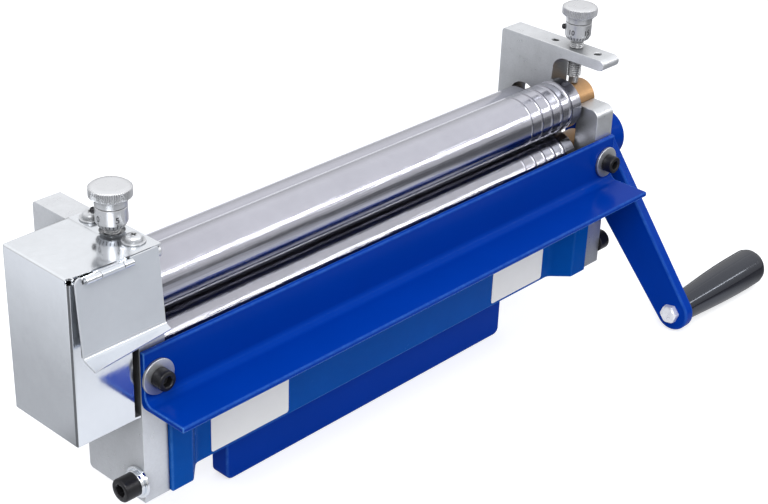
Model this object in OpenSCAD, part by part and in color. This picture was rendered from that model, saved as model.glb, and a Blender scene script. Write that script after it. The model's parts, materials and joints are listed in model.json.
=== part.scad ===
// Hand-cranked roll bending machine with three rollers, held in a bench vise by its tongue.
// X runs along the rollers towards the crank, Y from front to back, Z up.
// The modules are drawn with Y = 0 on the front faces of the end plates and Z = 0 under
// their feet. seated() then puts the origin in the middle of the shoulder that sits on the vise jaw.

/* [Rollers] */
// Clear width between the end plates
inside_w = 320; // [220:1:400]
// Diameter of each roller
roller_d = 29.4; // [26:0.1:29.8]
// Gap between a roller's shoulder and an end plate
shoulder_gap = 2; // [1:0.5:4]
// Diameter of the roller journals
journal_d = 14; // [10:0.5:15]
// Depth of the lower and top roller axes behind the front faces
axis_y = 25; // [24:0.5:27]
// Height of the lower roller axis
lower_z = 68; // [66:0.5:70]
// Distance from the lower roller axis up to the top roller axis
pinch_dist = 32.3; // [31.9:0.1:33]
// Depth of the rear roller axis
rear_y = 55; // [54:0.5:57]
// Height of the rear roller axis
rear_z = 86; // [84:0.5:88]
// Radius of the narrowest wire groove
groove_r_small = 0.9; // [0.5:0.1:1.2]
// Radius of the widest wire groove
groove_r_large = 1.9; // [1.3:0.1:2.2]
// Number of wire grooves
groove_n = 5; // [2:1:6]
// Distance from the roller's right shoulder to the last wire groove
groove_end = 10; // [8:0.5:16]
// Mean pitch of the wire grooves
groove_pitch = 8.6; // [8:0.1:10]

/* [End plates] */
// Thickness of an end plate
plate_t = 15; // [13:0.5:20]
// Height of an end plate
plate_h = 132; // [130:0.5:140]
// Depth of an end plate at its top
plate_d = 74; // [72:1:90]
// Depth of an end plate at its foot
foot_d = 42; // [40:0.5:43]
// Height of the front post
post_h = 101.5; // [99:0.5:104]
// Thickness of the arm over the throat
arm_t = 6.5; // [6:0.5:8]
// Radius of the throat's back corner
throat_r = 8; // [6:0.5:12]
// Underside of the rear lobe
lobe_z = 58; // [54:0.5:62]
// Corner radius of an end plate
plate_r = 5; // [2:0.5:7]
// Corner radius at the back of an end plate
rear_r = 2.5; // [1:0.5:5]

/* [Bushes and adjusters] */
// Outer diameter of a bronze bush
bush_d = 20; // [19:0.5:21]
// How far a bush stands out of its end plate
bush_out = 1.6; // [1:0.1:2]
// Diameter of an adjusting screw
screw_d = 8; // [6.4:0.1:8]
// Diameter of a knurled knob
knob_d = 20; // [19:0.2:22]
// Height of the knurled rim
knob_h = 6; // [5:0.5:8]
// Height of the collar under the rim
collar_h = 3.6; // [3:0.1:5]
// Diameter of the collar and the dial ring
dial_d = 15; // [14:0.5:17]
// Height of the dial ring
dial_h = 9.9; // [8:0.1:12]
// Gap between the dial ring and the arm at rest
dial_gap = 3.5; // [3.3:0.1:5]
// How much higher the right knob and ring sit on their screw
dial_up = 1.8; // [0:0.1:3]
// Travel of the rear roller's slot below rest
rear_down = 8; // [4:0.5:8]
// Travel of the rear roller's slot above rest
rear_up = 7; // [4:0.5:7]

/* [Front angle] */
// Height of the front angle's upper edge
angle_top = 83.6; // [80:0.1:86]
// Height of the front angle's shelf
shelf_z = 56.7; // [54:0.1:58]
// Depth of the front angle's shelf
shelf_d = 29; // [20:1:40]
// Thickness of the front angle
angle_t = 2.8; // [2:0.1:4]
// Height of the angle screws
angle_screw_z = 69.3; // [67:0.1:71]

/* [Base] */
// Depth of the beam's front face behind the end plates
web_y = 8; // [7:0.5:9]
// Thickness of the beam's web
web_t = 10; // [8:0.5:12]
// Height of the beam
beam_h = 46; // [38:1:48]
// How far the beam's ears stand in front of the end plates
ear_out = 2; // [1:0.1:3]
// Width of an ear
ear_w = 13; // [11:0.5:16]
// Depth of the beam's foot
beam_d = 32; // [30:0.5:34]
// Thickness of the beam's foot
beam_foot_t = 8; // [6:0.5:10]
// Width of the vise tongue
tongue_w = 215; // [120:1:220]
// Height of the vise tongue
tongue_h = 31; // [20:1:45]
// Thickness of the vise tongue
tongue_t = 12; // [8:0.5:14]
// Depth of the tongue's front face
tongue_y = 18.5; // [17:0.5:20]
// Depth of the side screws behind the front faces
side_y = 4; // [3.8:0.1:4.6]
// Height of the side screws
side_z = 11; // [10:0.5:16]

/* [Gear cover] */
// Width of the cover outside the left end plate
cover_w = 35.7; // [34:0.1:45]
// Depth of the cover's front edge
cover_y = 0.6; // [0.4:0.1:1]
// Depth of the cover from front to back
cover_d = 46.6; // [44.5:0.1:46.6]
// Underside of the cover
cover_z = 48.4; // [46:0.1:48.6]
// Height of the fixed front panel
panel_top = 92; // [88:1:93]
// Thickness of the sheet steel
sheet_t = 1; // [0.8:0.1:1.2]
// Angle by which the flap hangs forward
flap_tilt = 5; // [3:0.5:8]
// Number of teeth on each gear
teeth = 9; // [9:1:9]
// Tip radius of a gear
gear_tip_r = 18; // [17.8:0.1:18.1]
// Root radius of a gear
gear_root_r = 11.6; // [11.3:0.1:11.7]

/* [Crank] */
// Distance from the crank's hub to the grip
crank_len = 115; // [90:1:140]
// Angle of the crank below horizontal, towards the front
crank_angle = 49.6; // [0:0.1:90]
// Thickness of the crank arm
crank_t = 7.3; // [6:0.1:10]
// Gap between the right end plate and the crank arm
crank_gap = 10.3; // [10.3:0.1:16]
// Radius of the crank's hub end
hub_r = 16; // [13:0.5:18]
// Radius of the crank's grip end
eye_r = 11; // [9:0.5:13]
// Length of the hub boss
boss_l = 11.6; // [9:0.1:16]
// Length of the grip
grip_l = 82; // [60:1:110]
// Largest diameter of the grip
grip_d = 23; // [20:0.5:26]

/* [Hidden] */
$fn = 64;
eps = 0.01;
run = 0.05;          // running clearance on a radius
seat = 0.3;          // free gap between pieces that move past each other
half_w = inside_w/2;
outer_x = half_w + plate_t;
mid_x = half_w + plate_t/2;
roller_r = roller_d/2;
journal_r = journal_d/2;
bush_r = bush_d/2;
slot_r = bush_r + run;
top_z = lower_z + pinch_dist;
roll_end = half_w - shoulder_gap;
bush_in = roll_end + seat;
bush_end = outer_x + bush_out;
rear_bush_end = outer_x - 0.2;
ceil_z = plate_h - arm_t;
screw_r = screw_d/2;
tap_r = screw_r + run;
tip_z = top_z + bush_r + run;
dial_z = plate_h + dial_gap;
collar_z = dial_z + dial_h;
rim_z = collar_z + collar_h;
point_r = 2.8;       // slim end of an adjusting screw
point_l = 4;
dial_screw_r = 1.6;
dial_screw_z = collar_z - 3.2;
dial_screw_a = -47;  // turned from -X
rear_tip_z = rear_z - bush_r - run;
rear_knob_z = lobe_z - rear_up - 1 - collar_h;
guard_y = 15;        // spacing of the small tapped holes from the adjusting screw
guard_tap_r = 2.1;
small_screw_r = guard_tap_r - run;
gear_gap = seat;
gear_x = bush_end + gear_gap;
gear_w = 15.6;
ring_t = 1;
ring_r = journal_r + 2;
groove_depth = 1;
shaft_left = gear_x + gear_w + ring_t + 3;
key_w = 4;
key_l = 12;
crank_x = outer_x + crank_gap;
boss_x = crank_x + crank_t;
hub_end = boss_x + boss_l;
head_d = 12;
head_h = 8;
m8_r = 4;
flat_t = 1.6;
split_t = 2.1;
flat_washer_d = 16;
split_washer_d = 13.6;
side_screw_l = plate_t + ear_w - 3;
angle_washer_d = 18;
angle_washer_t = 1.6;
angle_head_d = 10;
angle_head_h = 6;
m6_r = 3;
angle_screw_l = 14;
grub_r = 2.5;
spindle_r = 4;
spindle_head_af = 10;
spindle_head_h = 4;
grip_x = boss_x + seat;
collar_r = spindle_r + 2;
hinge_r = 1.7;
pin_r = 0.7;
flap_back = -0.6;
hinge_y = flap_back - sheet_t - hinge_r + 0.3;
hinge_z = plate_h + 0.15;
hinge_l = 25.8;
hinge_in = 3.6;
knuckle_l = 8.3;
knuckle_r = 5.3;
hinge_x = [for (d = [hinge_l, hinge_l - knuckle_l, knuckle_r, 0]) -outer_x - hinge_in - d];
knuckle_gap = 0.15;
flap_x0 = -outer_x - cover_w + 2.2;
flap_x1 = -half_w - 3;
flap_low = 97.5;
flap_top = plate_h + 1.6;
lip_left = 7.5;
lip_right = 3.5;
lip_bend = 68;
flange_w = 3.7;
panel_gap = 3.4;
seat_step = 0.5;
cover_washer_d = 11;
label_low = 2;
label_left_x = 127;
label_left_w = 52;
label_left_h = 25;
label_right_x = 130;
label_right_w = 45;
label_right_h = 20;
seat_y = (web_y + tongue_y)/2;

// Points of an arc about c, from angle a0 to a1.
function arc(c, r, a0, a1, n = 8) =
    [for (i = [0:n]) let (a = a0 + (a1 - a0)*i/n) [c[0] + r*cos(a), c[1] + r*sin(a)]];

// Draws its children, drawn in Y and Z, as an extrusion along X from x0 to x1.
module along_x(x0, x1) {
    translate([x0, 0, 0]) rotate([90, 0, 90]) linear_extrude(x1 - x0) children();
}

// A round bar along X.
module x_bar(x0, x1, r, y, z) {
    translate([x0, y, z]) rotate([0, 90, 0]) cylinder(r = r, h = x1 - x0);
}

// A round bar along Y.
module y_bar(y0, y1, r, x, z) {
    translate([x, y0, z]) rotate([-90, 0, 0]) cylinder(r = r, h = y1 - y0);
}

// A round bar along Z.
module z_bar(z0, z1, r, x, y) {
    translate([x, y, z0]) cylinder(r = r, h = z1 - z0);
}

// A box between two corners.
module block(a, b) {
    translate(a) cube(b - a);
}

// Draws its children on the left (-1) or the right (1).
module on_side(s) {
    if (s > 0) children();
    else mirror([1, 0, 0]) children();
}

// Moves the drawing so that the origin lies on the vise shoulder.
module seated() {
    translate([0, -seat_y, 0]) children();
}

// Outer outline of an end plate, in Y and Z.
module plate_outline() {
    polygon(concat(
        [[0, 0], [0, plate_h - arm_t/2]],
        arc([arm_t/2, plate_h - arm_t/2], arm_t/2, 180, 90),
        arc([plate_d - rear_r, plate_h - rear_r], rear_r, 90, 0),
        arc([plate_d - rear_r, lobe_z + rear_r], rear_r, 0, -90),
        arc([foot_d + plate_r, lobe_z - plate_r], plate_r, 90, 180),
        arc([foot_d - rear_r, rear_r], rear_r, 0, -90)));
}

// Throat between the front post and the arm, with its rounded back corner.
module throat() {
    back = axis_y + slot_r;
    difference() {
        block([half_w - 1, -1, post_h], [outer_x + 1, back, ceil_z]);
        difference() {
            block([half_w - 2, back - throat_r, ceil_z - throat_r], [outer_x + 2, back + 1, ceil_z + 1]);
            x_bar(half_w - 3, outer_x + 3, throat_r, back - throat_r, ceil_z - throat_r);
        }
    }
}

// Rounds the front post's top corner and the nose of the arm above it.
module post_rounding() {
    difference() {
        block([half_w - 1, -1, post_h - plate_r], [outer_x + 1, plate_r, post_h + eps]);
        x_bar(half_w - 2, outer_x + 2, plate_r, plate_r, post_h - plate_r);
    }
    difference() {
        block([half_w - 1, -1, ceil_z - eps], [outer_x + 1, arm_t/2, ceil_z + arm_t/2]);
        x_bar(half_w - 2, outer_x + 2, arm_t/2, arm_t/2, ceil_z + arm_t/2);
    }
}

// One end plate, drawn as the right one.
module end_plate() {
    difference() {
        along_x(half_w, outer_x) plate_outline();
        throat();
        post_rounding();
        x_bar(half_w - 1, outer_x + 1, slot_r, axis_y, lower_z);
        block([half_w - 1, axis_y - slot_r, lower_z], [outer_x + 1, axis_y + slot_r, post_h + 1]);
        x_bar(half_w - 1, outer_x + 1, slot_r, rear_y, rear_z - rear_down - run);
        x_bar(half_w - 1, outer_x + 1, slot_r, rear_y, rear_z + rear_up + run);
        block([half_w - 1, rear_y - slot_r, rear_z - rear_down - run],
              [outer_x + 1, rear_y + slot_r, rear_z + rear_up + run]);
        z_bar(ceil_z - throat_r, plate_h + 1, tap_r, mid_x, axis_y);
        z_bar(lobe_z - 1, rear_z - rear_down, tap_r, mid_x, rear_y);
        z_bar(ceil_z - 1, plate_h + 1, guard_tap_r, mid_x, axis_y - guard_y);
        z_bar(plate_h - arm_t - 3, plate_h + 1, guard_tap_r, mid_x, axis_y + guard_y);
        y_bar(-1, angle_screw_l - angle_t - angle_washer_t + 1, m6_r + run, mid_x, angle_screw_z);
        x_bar(half_w - 1, outer_x + 1, m8_r + run, side_y, side_z);
    }
}

module left_end_plate() { color("silver") on_side(-1) end_plate(); }
module right_end_plate() { color("silver") on_side(1) end_plate(); }

// Cast beam: a web between two ears that take the side screws, and a foot on the vise.
module base_beam() {
    joggle = ear_out + web_y;
    ear_x = half_w - ear_w;
    color("mediumblue") difference() {
        union() {
            linear_extrude(beam_h) polygon([
                [-half_w, -ear_out], [-ear_x, -ear_out], [-ear_x + joggle, web_y],
                [ear_x - joggle, web_y], [ear_x, -ear_out], [half_w, -ear_out],
                [half_w, web_y + web_t], [-half_w, web_y + web_t]]);
            block([-half_w, web_y + 1, seat_step], [half_w, web_y + beam_d, beam_foot_t]);
        }
        for (s = [-1, 1]) on_side(s) x_bar(half_w - ear_w + 1, half_w + 1, m8_r + run, side_y, side_z);
    }
}

// Flat bar under the beam that the vise jaws grip, with its lower corners rounded
// and its upper front edge chamfered below the shoulder.
module vise_tongue() {
    corner_r = 4;
    color("mediumblue") difference() {
        translate([0, tongue_y + tongue_t, 0]) rotate([90, 0, 0])
            linear_extrude(tongue_t) polygon(concat(
                [[-tongue_w/2, seat_step]],
                arc([-tongue_w/2 + corner_r, -tongue_h + corner_r], corner_r, 180, 270),
                arc([tongue_w/2 - corner_r, -tongue_h + corner_r], corner_r, 270, 360),
                [[tongue_w/2, seat_step]]));
        along_x(-tongue_w/2 - 1, tongue_w/2 + 1) polygon([
            [tongue_y - 1, 0], [tongue_y, 0], [tongue_y + seat_step, seat_step],
            [tongue_y + seat_step, seat_step + 1], [tongue_y - 1, seat_step + 1]]);
    }
}

// Steel angle across the front: its leg is screwed to the posts, and its shelf guides the work.
module front_angle() {
    bend_r = angle_t;
    color("mediumblue") difference() {
        along_x(-outer_x, outer_x) polygon(concat(
            [[0, angle_top], [-angle_t, angle_top]],
            arc([-angle_t - bend_r, shelf_z + bend_r], bend_r, 0, -90),
            [[-shelf_d, shelf_z], [-shelf_d, shelf_z - angle_t], [0, shelf_z - angle_t]]));
        for (s = [-1, 1]) y_bar(-angle_t - 1, 1, m6_r + 0.2, s*mid_x, angle_screw_z);
    }
}

// Socket head cap screw along Z: its head stands on z = 0, its shank hangs below.
module cap_screw(head_d, head_h, shank_r, shank_l) {
    difference() {
        union() {
            cylinder(r = head_d/2, h = head_h);
            translate([0, 0, -shank_l]) cylinder(r = shank_r, h = shank_l + eps);
        }
        translate([0, 0, head_h/2]) cylinder(r = head_d*0.3, h = head_h, $fn = 6);
    }
}

// Flat washer along Z, standing on z = 0.
module washer(od, r, t) {
    difference() {
        cylinder(r = od/2, h = t);
        translate([0, 0, -1]) cylinder(r = r, h = t + 2);
    }
}

module angle_screws() {
    color("dimgray") for (s = [-1, 1])
        translate([s*mid_x, -angle_t - angle_washer_t, angle_screw_z]) rotate([90, 0, 0])
            cap_screw(angle_head_d, angle_head_h, m6_r, angle_screw_l);
}

module angle_washers() {
    color("silver") for (s = [-1, 1])
        translate([s*mid_x, -angle_t, angle_screw_z]) rotate([90, 0, 0])
            washer(angle_washer_d, m6_r + 0.2, angle_washer_t);
}

// The left side screw has washers under its head; the right one bears on the end plate.
module side_screws() {
    color("dimgray") for (s = [-1, 1]) on_side(s)
        translate([outer_x + (s < 0 ? flat_t + split_t : 0), side_y, side_z]) rotate([0, 90, 0])
            cap_screw(head_d, head_h, m8_r, side_screw_l + (s < 0 ? flat_t + split_t : 0));
}

module side_flat_washer() {
    color("silver") on_side(-1) translate([outer_x, side_y, side_z]) rotate([0, 90, 0])
        washer(flat_washer_d, m8_r + 0.2, flat_t);
}

// Spring washer, split at one place.
module side_split_washer() {
    split_w = 1.2;
    color("silver") on_side(-1) translate([outer_x + flat_t, side_y, side_z]) rotate([0, 90, 0])
        difference() {
            washer(split_washer_d, m8_r + 0.2, split_t);
            translate([m8_r - 1, -split_w/2, -1]) cube([head_d, split_w, split_t + 2]);
        }
}

// Folded sheet box over the gears, open at the front behind the flap.
module gear_cover() {
    x0 = -outer_x - cover_w;
    x1 = -outer_x;
    y1 = cover_y + cover_d;
    z1 = plate_h + sheet_t;
    color("gainsboro") difference() {
        union() {
            block([x0, cover_y, plate_h], [-half_w, y1, z1]);
            block([x0, cover_y, cover_z], [x0 + sheet_t, y1, z1]);
            block([x0, y1 - sheet_t, cover_z], [x1, y1, z1]);
            block([x0, cover_y, cover_z], [x1, y1, cover_z + sheet_t]);
            block([x0, cover_y, cover_z], [x1 - panel_gap, cover_y + sheet_t, panel_top]);
            block([x0, cover_y, cover_z], [x0 + flange_w, cover_y + sheet_t, z1]);
        }
        z_bar(plate_h - 1, z1 + 1, dial_d/2 - 1.5, -mid_x, axis_y);
        for (s = [-1, 1]) z_bar(plate_h - 1, z1 + 1, guard_tap_r + 0.2, -mid_x, axis_y + s*guard_y);
        z_bar(plate_h - 1.5, z1 + 1, 1.6, x0 + sheet_t, cover_y);
    }
}

// Pan head screws that hold the cover on the arm, with a cross recess.
module cover_screws() {
    pan_r = 4;
    pan_h = 2.6;
    base_z = plate_h + sheet_t + 0.8;
    color("silver") for (s = [-1, 1]) translate([-mid_x, axis_y + s*guard_y, base_z]) difference() {
        union() {
            cylinder(r = pan_r, h = pan_h*0.6);
            translate([0, 0, pan_h*0.6 - eps]) cylinder(r1 = pan_r, r2 = pan_r*0.6, h = pan_h*0.4);
            translate([0, 0, -sheet_t - 0.8 - arm_t + 0.5])
                cylinder(r = small_screw_r, h = sheet_t + 0.8 + arm_t);
        }
        for (a = [0, 90]) rotate([0, 0, a])
            translate([-pan_r*0.5, -0.4, pan_h*0.4]) cube([pan_r, 0.8, pan_h]);
    }
}

module cover_washers() {
    color("silver") for (s = [-1, 1]) translate([-mid_x, axis_y + s*guard_y, plate_h + sheet_t])
        washer(cover_washer_d, guard_tap_r + 0.2, 0.8);
}

// Rolled hinge leaf under the cover's top sheet, with the two fixed knuckles.
module hinge_leaf() {
    leaf_y = hinge_y + 12.4;
    color("silver") difference() {
        union() {
            for (k = [0, 2]) {
                x_bar(hinge_x[k] + knuckle_gap, hinge_x[k + 1] - knuckle_gap, hinge_r, hinge_y, hinge_z);
                block([hinge_x[k] + knuckle_gap, hinge_y, plate_h - sheet_t],
                      [hinge_x[k + 1] - knuckle_gap, leaf_y, plate_h]);
            }
            block([hinge_x[0] + knuckle_gap, cover_y, plate_h - sheet_t],
                  [hinge_x[3] - knuckle_gap, leaf_y, plate_h]);
        }
        x_bar(hinge_x[0] - 1, hinge_x[3] + 1, pin_r + run, hinge_y, hinge_z);
    }
}

module hinge_pin() {
    color("gray") x_bar(hinge_x[0] - 0.3, hinge_x[3], pin_r, hinge_y, hinge_z);
}

// Sheet flap in front of the gears: it hangs from the hinge, and ends in an out-turned lip.
module guard_flap() {
    front = flap_back - sheet_t;
    notch_z = plate_h - sheet_t - 0.75;
    side = knuckle_gap + 0.2;
    lip_r = 2.5;
    corner_r = 3;
    reach = (lip_left - lip_r*(1 - cos(lip_bend)))/sin(lip_bend);
    tip_y = front - lip_left;
    tip_z = flap_low - lip_r*sin(lip_bend) - reach*cos(lip_bend);
    color("gainsboro") translate([0, hinge_y, hinge_z]) rotate([-flap_tilt, 0, 0])
        translate([0, -hinge_y, -hinge_z]) difference() {
            union() {
                block([flap_x0, front, flap_low], [flap_x1, flap_back, flap_top]);
                x_bar(hinge_x[1] + knuckle_gap, hinge_x[2] - knuckle_gap, hinge_r, hinge_y, hinge_z);
                along_x(flap_x0, flap_x1) polygon(concat(
                    arc([front - lip_r, flap_low], lip_r, 0, -lip_bend),
                    [[tip_y, tip_z], [tip_y + sheet_t*cos(lip_bend), tip_z - sheet_t*sin(lip_bend)]],
                    arc([front - lip_r, flap_low], lip_r + sheet_t, -lip_bend, 0)));
            }
            x_bar(hinge_x[0] - 1, hinge_x[3] + 1, pin_r + run, hinge_y, hinge_z);
            for (k = [0, 2]) block([hinge_x[k] - side, front - 1, notch_z],
                                   [hinge_x[k + 1] + side, flap_back + 1, flap_top + 1]);
            difference() {
                block([flap_x0 - 1, front - 1, flap_top - corner_r],
                      [flap_x0 + corner_r, flap_back + 1, flap_top + 1]);
                y_bar(front - 2, flap_back + 2, corner_r, flap_x0 + corner_r, flap_top - corner_r);
            }
            translate([0, 0, tip_z - 2]) linear_extrude(flap_low - tip_z) polygon([
                [flap_x0 - 1, tip_y - 1], [flap_x1 + 1, tip_y - 1],
                [flap_x1 + 1, front - lip_right], [flap_x1, front - lip_right], [flap_x0, tip_y],
                [flap_x0 - 1, tip_y]]);
        }
}

// Bronze bush on the right, about the axis at y, z.
module bush(y, z, x1) {
    difference() {
        x_bar(bush_in, x1, bush_r, y, z);
        x_bar(bush_in - 1, x1 + 1, journal_r + run, y, z);
    }
}

module lower_bushes() { color("peru") for (s = [-1, 1]) on_side(s) bush(axis_y, lower_z, bush_end); }
module top_bushes() { color("peru") for (s = [-1, 1]) on_side(s) bush(axis_y, top_z, bush_end); }
module rear_bushes() { color("peru") for (s = [-1, 1]) on_side(s) bush(rear_y, rear_z, rear_bush_end); }

// Blank label plates on the beam's front face.
module blank_labels() {
    label_t = 0.3;
    color("white") {
        block([-label_left_x, web_y - label_t, label_low],
              [-label_left_x + label_left_w, web_y, label_low + label_left_h]);
        block([label_right_x - label_right_w, web_y - label_t, label_low],
              [label_right_x, web_y, label_low + label_right_h]);
    }
}

// Roller along X with its journals, from x0 to x1, and the wire grooves near its right end.
module roller(y, z, x0, x1, grooves) {
    difference() {
        union() {
            x_bar(-roll_end, roll_end, roller_r, y, z);
            x_bar(x0, x1, journal_r, y, z);
        }
        if (grooves) for (i = [0:groove_n - 1]) {
            r = groove_r_small + (groove_r_large - groove_r_small)*i/(groove_n - 1);
            spread = 0.35*(groove_n - 1 - i)*(groove_n - 1 - i - 4)/4;
            x = roll_end - groove_end - groove_pitch*(groove_n - 1 - i) - spread;
            translate([x, y, z]) rotate([0, 90, 0])
                rotate_extrude() translate([roller_r, 0]) circle(r = r, $fn = 24);
        }
    }
}

// Groove for the retaining ring and keyway for the gear, cut into a left journal.
module journal_cuts(z) {
    translate([-gear_x - gear_w - ring_t - run, axis_y, z]) rotate([0, 90, 0]) difference() {
        cylinder(r = journal_r + 1, h = ring_t + 2*run);
        translate([0, 0, -1]) cylinder(r = journal_r - groove_depth - run, h = ring_t + 3);
    }
    translate([-gear_x - gear_w/2, axis_y, z])
        block([-key_l/2 - run, -key_w/2 - run, journal_r - key_w/2],
              [key_l/2 + run, key_w/2 + run, journal_r + 1]);
}

module lower_roller() {
    color("lightsteelblue") difference() {
        roller(axis_y, lower_z, -shaft_left, hub_end, true);
        journal_cuts(lower_z);
    }
}

module top_roller() {
    color("lightsteelblue") difference() {
        roller(axis_y, top_z, -shaft_left, bush_end + 1.2, true);
        journal_cuts(top_z);
    }
}

module rear_roller() { color("lightsteelblue") roller(rear_y, rear_z, -rear_bush_end, rear_bush_end, false); }

// Outline of a gear with long, slim teeth, the first one at angle turn from +Z, in Y and Z.
module gear_outline(turn) {
    tip_w = 1.2;
    mid_w = 2;
    root_w = 2.4;
    mid_r = (gear_tip_r + gear_root_r)/2;
    flank = [[gear_root_r, -root_w], [mid_r, -mid_w], [gear_tip_r, -tip_w],
             [gear_tip_r, tip_w], [mid_r, mid_w], [gear_root_r, root_w]];
    polygon([for (k = [0:teeth - 1], p = flank)
        let (a = turn + 360*k/teeth + asin(p[1]/p[0])) [p[0]*sin(a), p[0]*cos(a)]]);
}

// Gear on a left journal, keyed to it.
module gear(z, turn) {
    difference() {
        translate([0, axis_y, z]) along_x(-gear_x - gear_w, -gear_x) gear_outline(turn);
        x_bar(-gear_x - gear_w - 1, -gear_x + 1, journal_r + run, axis_y, z);
        translate([-gear_x - gear_w/2, axis_y, z])
            block([-gear_w, -key_w/2 - run, 0], [gear_w, key_w/2 + run, journal_r + key_w/2 + run]);
    }
}

module key(z) {
    translate([-gear_x - gear_w/2, axis_y, z])
        block([-key_l/2, -key_w/2, journal_r - key_w/2], [key_l/2, key_w/2, journal_r + key_w/2]);
}

// Retaining ring in a left journal's groove, open at one side.
module retaining_ring(z) {
    translate([-gear_x - gear_w - ring_t, axis_y, z]) rotate([0, 90, 0]) difference() {
        washer(2*ring_r, journal_r - groove_depth, ring_t);
        translate([0, -2, -1]) cube([2*ring_r, 4, ring_t + 2]);
    }
}

module drive_gear() { color("gray") gear(lower_z, 0); }
module driven_gear() { color("gray") gear(top_z, 180 + 180/teeth); }
module drive_key() { color("dimgray") key(lower_z); }
module driven_key() { color("dimgray") key(top_z); }
module lower_ring() { color("dimgray") retaining_ring(lower_z); }
module top_ring() { color("dimgray") retaining_ring(top_z); }

// Places its children with the crank's hub at the origin, its arm along -Y and turned to rest.
module at_crank() {
    translate([0, axis_y, lower_z]) rotate([crank_angle, 0, 0]) children();
}

// Tapered arm between the hub and the eye, as the tangents of their circles.
module arm_outline() {
    a = acos((hub_r - eye_r)/crank_len);
    circle(r = hub_r);
    translate([-crank_len, 0]) circle(r = eye_r);
    polygon([[-hub_r*cos(a), hub_r*sin(a)], [-crank_len - eye_r*cos(a), eye_r*sin(a)],
             [-crank_len - eye_r*cos(a), -eye_r*sin(a)], [-hub_r*cos(a), -hub_r*sin(a)]]);
}

module crank_arm() {
    color("mediumblue") at_crank() difference() {
        union() {
            along_x(crank_x, boss_x) arm_outline();
            x_bar(boss_x - eps, hub_end, hub_r - 0.8, 0, 0);
        }
        x_bar(crank_x - 1, hub_end + 1, journal_r + run, 0, 0);
        x_bar(crank_x - 1, boss_x + 1, spindle_r + run, -crank_len, 0);
        y_bar(0, hub_r, grub_r + run, boss_x + boss_l/2, 0);
    }
}

// Grub screw in the hub boss, with its hexagon socket.
module crank_set_screw() {
    color("dimgray") at_crank() translate([boss_x + boss_l/2, 0, 0]) rotate([-90, 0, 0]) difference() {
        translate([0, 0, journal_r + run]) cylinder(r = grub_r, h = hub_r - 1.5 - journal_r);
        translate([0, 0, hub_r - 4]) cylinder(r = 1.5, h = 5, $fn = 6);
    }
}

// Spindle that carries the grip: its hexagon head bears on the arm's inner face.
module grip_spindle() {
    color("silver") at_crank() translate([0, -crank_len, 0]) {
        translate([crank_x - spindle_head_h, 0, 0]) rotate([0, 90, 0])
            cylinder(r = spindle_head_af/2/cos(30), h = spindle_head_h, $fn = 6);
        x_bar(crank_x - eps, grip_x + grip_l*0.8, spindle_r, 0, 0);
        x_bar(grip_x + grip_l*0.8 - eps, grip_x + grip_l*0.8 + 3, collar_r, 0, 0);
    }
}

// Moulded grip: slim at the arm, fullest near its rounded outer end.
module crank_grip() {
    r_in = grip_d*0.37;
    r_max = grip_d/2;
    end_r = r_max*0.55;
    profile = concat(
        [[0, 0], [r_in - 1, 0], [r_in, 1], [r_in + (r_max - r_in)*0.45, grip_l*0.25],
         [r_in + (r_max - r_in)*0.82, grip_l*0.55], [r_max, grip_l*0.8]],
        arc([r_max - end_r, grip_l - end_r], end_r, 0, 90),
        [[0, grip_l]]);
    color("dimgray") at_crank() translate([grip_x, -crank_len, 0]) difference() {
        rotate([0, 90, 0]) rotate_extrude() polygon(profile);
        x_bar(-1, grip_l*0.8, spindle_r + run, 0, 0);
        x_bar(grip_l*0.8 - seat, grip_l*0.8 + 3 + seat, collar_r + seat, 0, 0);
    }
}

// Adjusting screw on the right, which bears on the top bush with its slimmer point.
module top_screw(up = 0) {
    z_bar(tip_z, tip_z + point_l, point_r, mid_x, axis_y);
    z_bar(tip_z + point_l - eps, rim_z + 3 + up, screw_r, mid_x, axis_y);
}

// Knurled knob on the screw's upper end, on the right.
module top_knob() {
    translate([mid_x, axis_y, 0]) difference() {
        rotate_extrude() polygon([[0, collar_z], [dial_d/2, collar_z], [dial_d/2, rim_z],
            [knob_d/2 - 1.2, rim_z], [knob_d/2, rim_z + 1.8], [knob_d/2, rim_z + knob_h - 1],
            [knob_d/2 - 1, rim_z + knob_h], [0, rim_z + knob_h]]);
        z_bar(collar_z - 1, rim_z + 3, screw_r + run, 0, 0);
    }
}

// Graduated ring under the knob, with a bevelled lower edge, on the right.
module dial_ring() {
    bevel = 1.4;
    translate([mid_x, axis_y, 0]) difference() {
        rotate_extrude() polygon([[0, dial_z], [dial_d/2 - bevel, dial_z], [dial_d/2, dial_z + 2.4],
            [dial_d/2, collar_z], [0, collar_z]]);
        z_bar(dial_z - 1, collar_z + 1, screw_r + run, 0, 0);
        rotate([0, 0, dial_screw_a]) x_bar(-dial_d, 0, dial_screw_r + run, 0, dial_screw_z);
    }
}

// Small screw that locks the dial ring, on the right: its domed end stands out of the ring.
module dial_screw() {
    out = 1.9;
    dome = 0.7;
    translate([mid_x, axis_y, dial_screw_z]) rotate([0, 0, dial_screw_a]) {
        x_bar(-dial_d/2 - out + dome, -screw_r - run, dial_screw_r, 0, 0);
        translate([-dial_d/2 - out, 0, 0]) rotate([0, 90, 0])
            cylinder(r1 = dial_screw_r - dome, r2 = dial_screw_r, h = dome + eps);
    }
}

// Puts the right knob, ring and ring screw at their height.
module raised() { translate([0, 0, dial_up]) children(); }

module left_top_screw() { color("gainsboro") on_side(-1) top_screw(); }
module right_top_screw() { color("gainsboro") on_side(1) top_screw(dial_up); }
module left_top_knob() { color("gainsboro") on_side(-1) top_knob(); }
module right_top_knob() { color("gainsboro") raised() top_knob(); }
module left_dial_ring() { color("gainsboro") translate([-2*mid_x, 0, 0]) dial_ring(); }
module right_dial_ring() { color("gainsboro") raised() dial_ring(); }
module left_dial_screw() { color("dimgray") translate([-2*mid_x, 0, 0]) dial_screw(); }
module right_dial_screw() { color("dimgray") raised() dial_screw(); }

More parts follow.
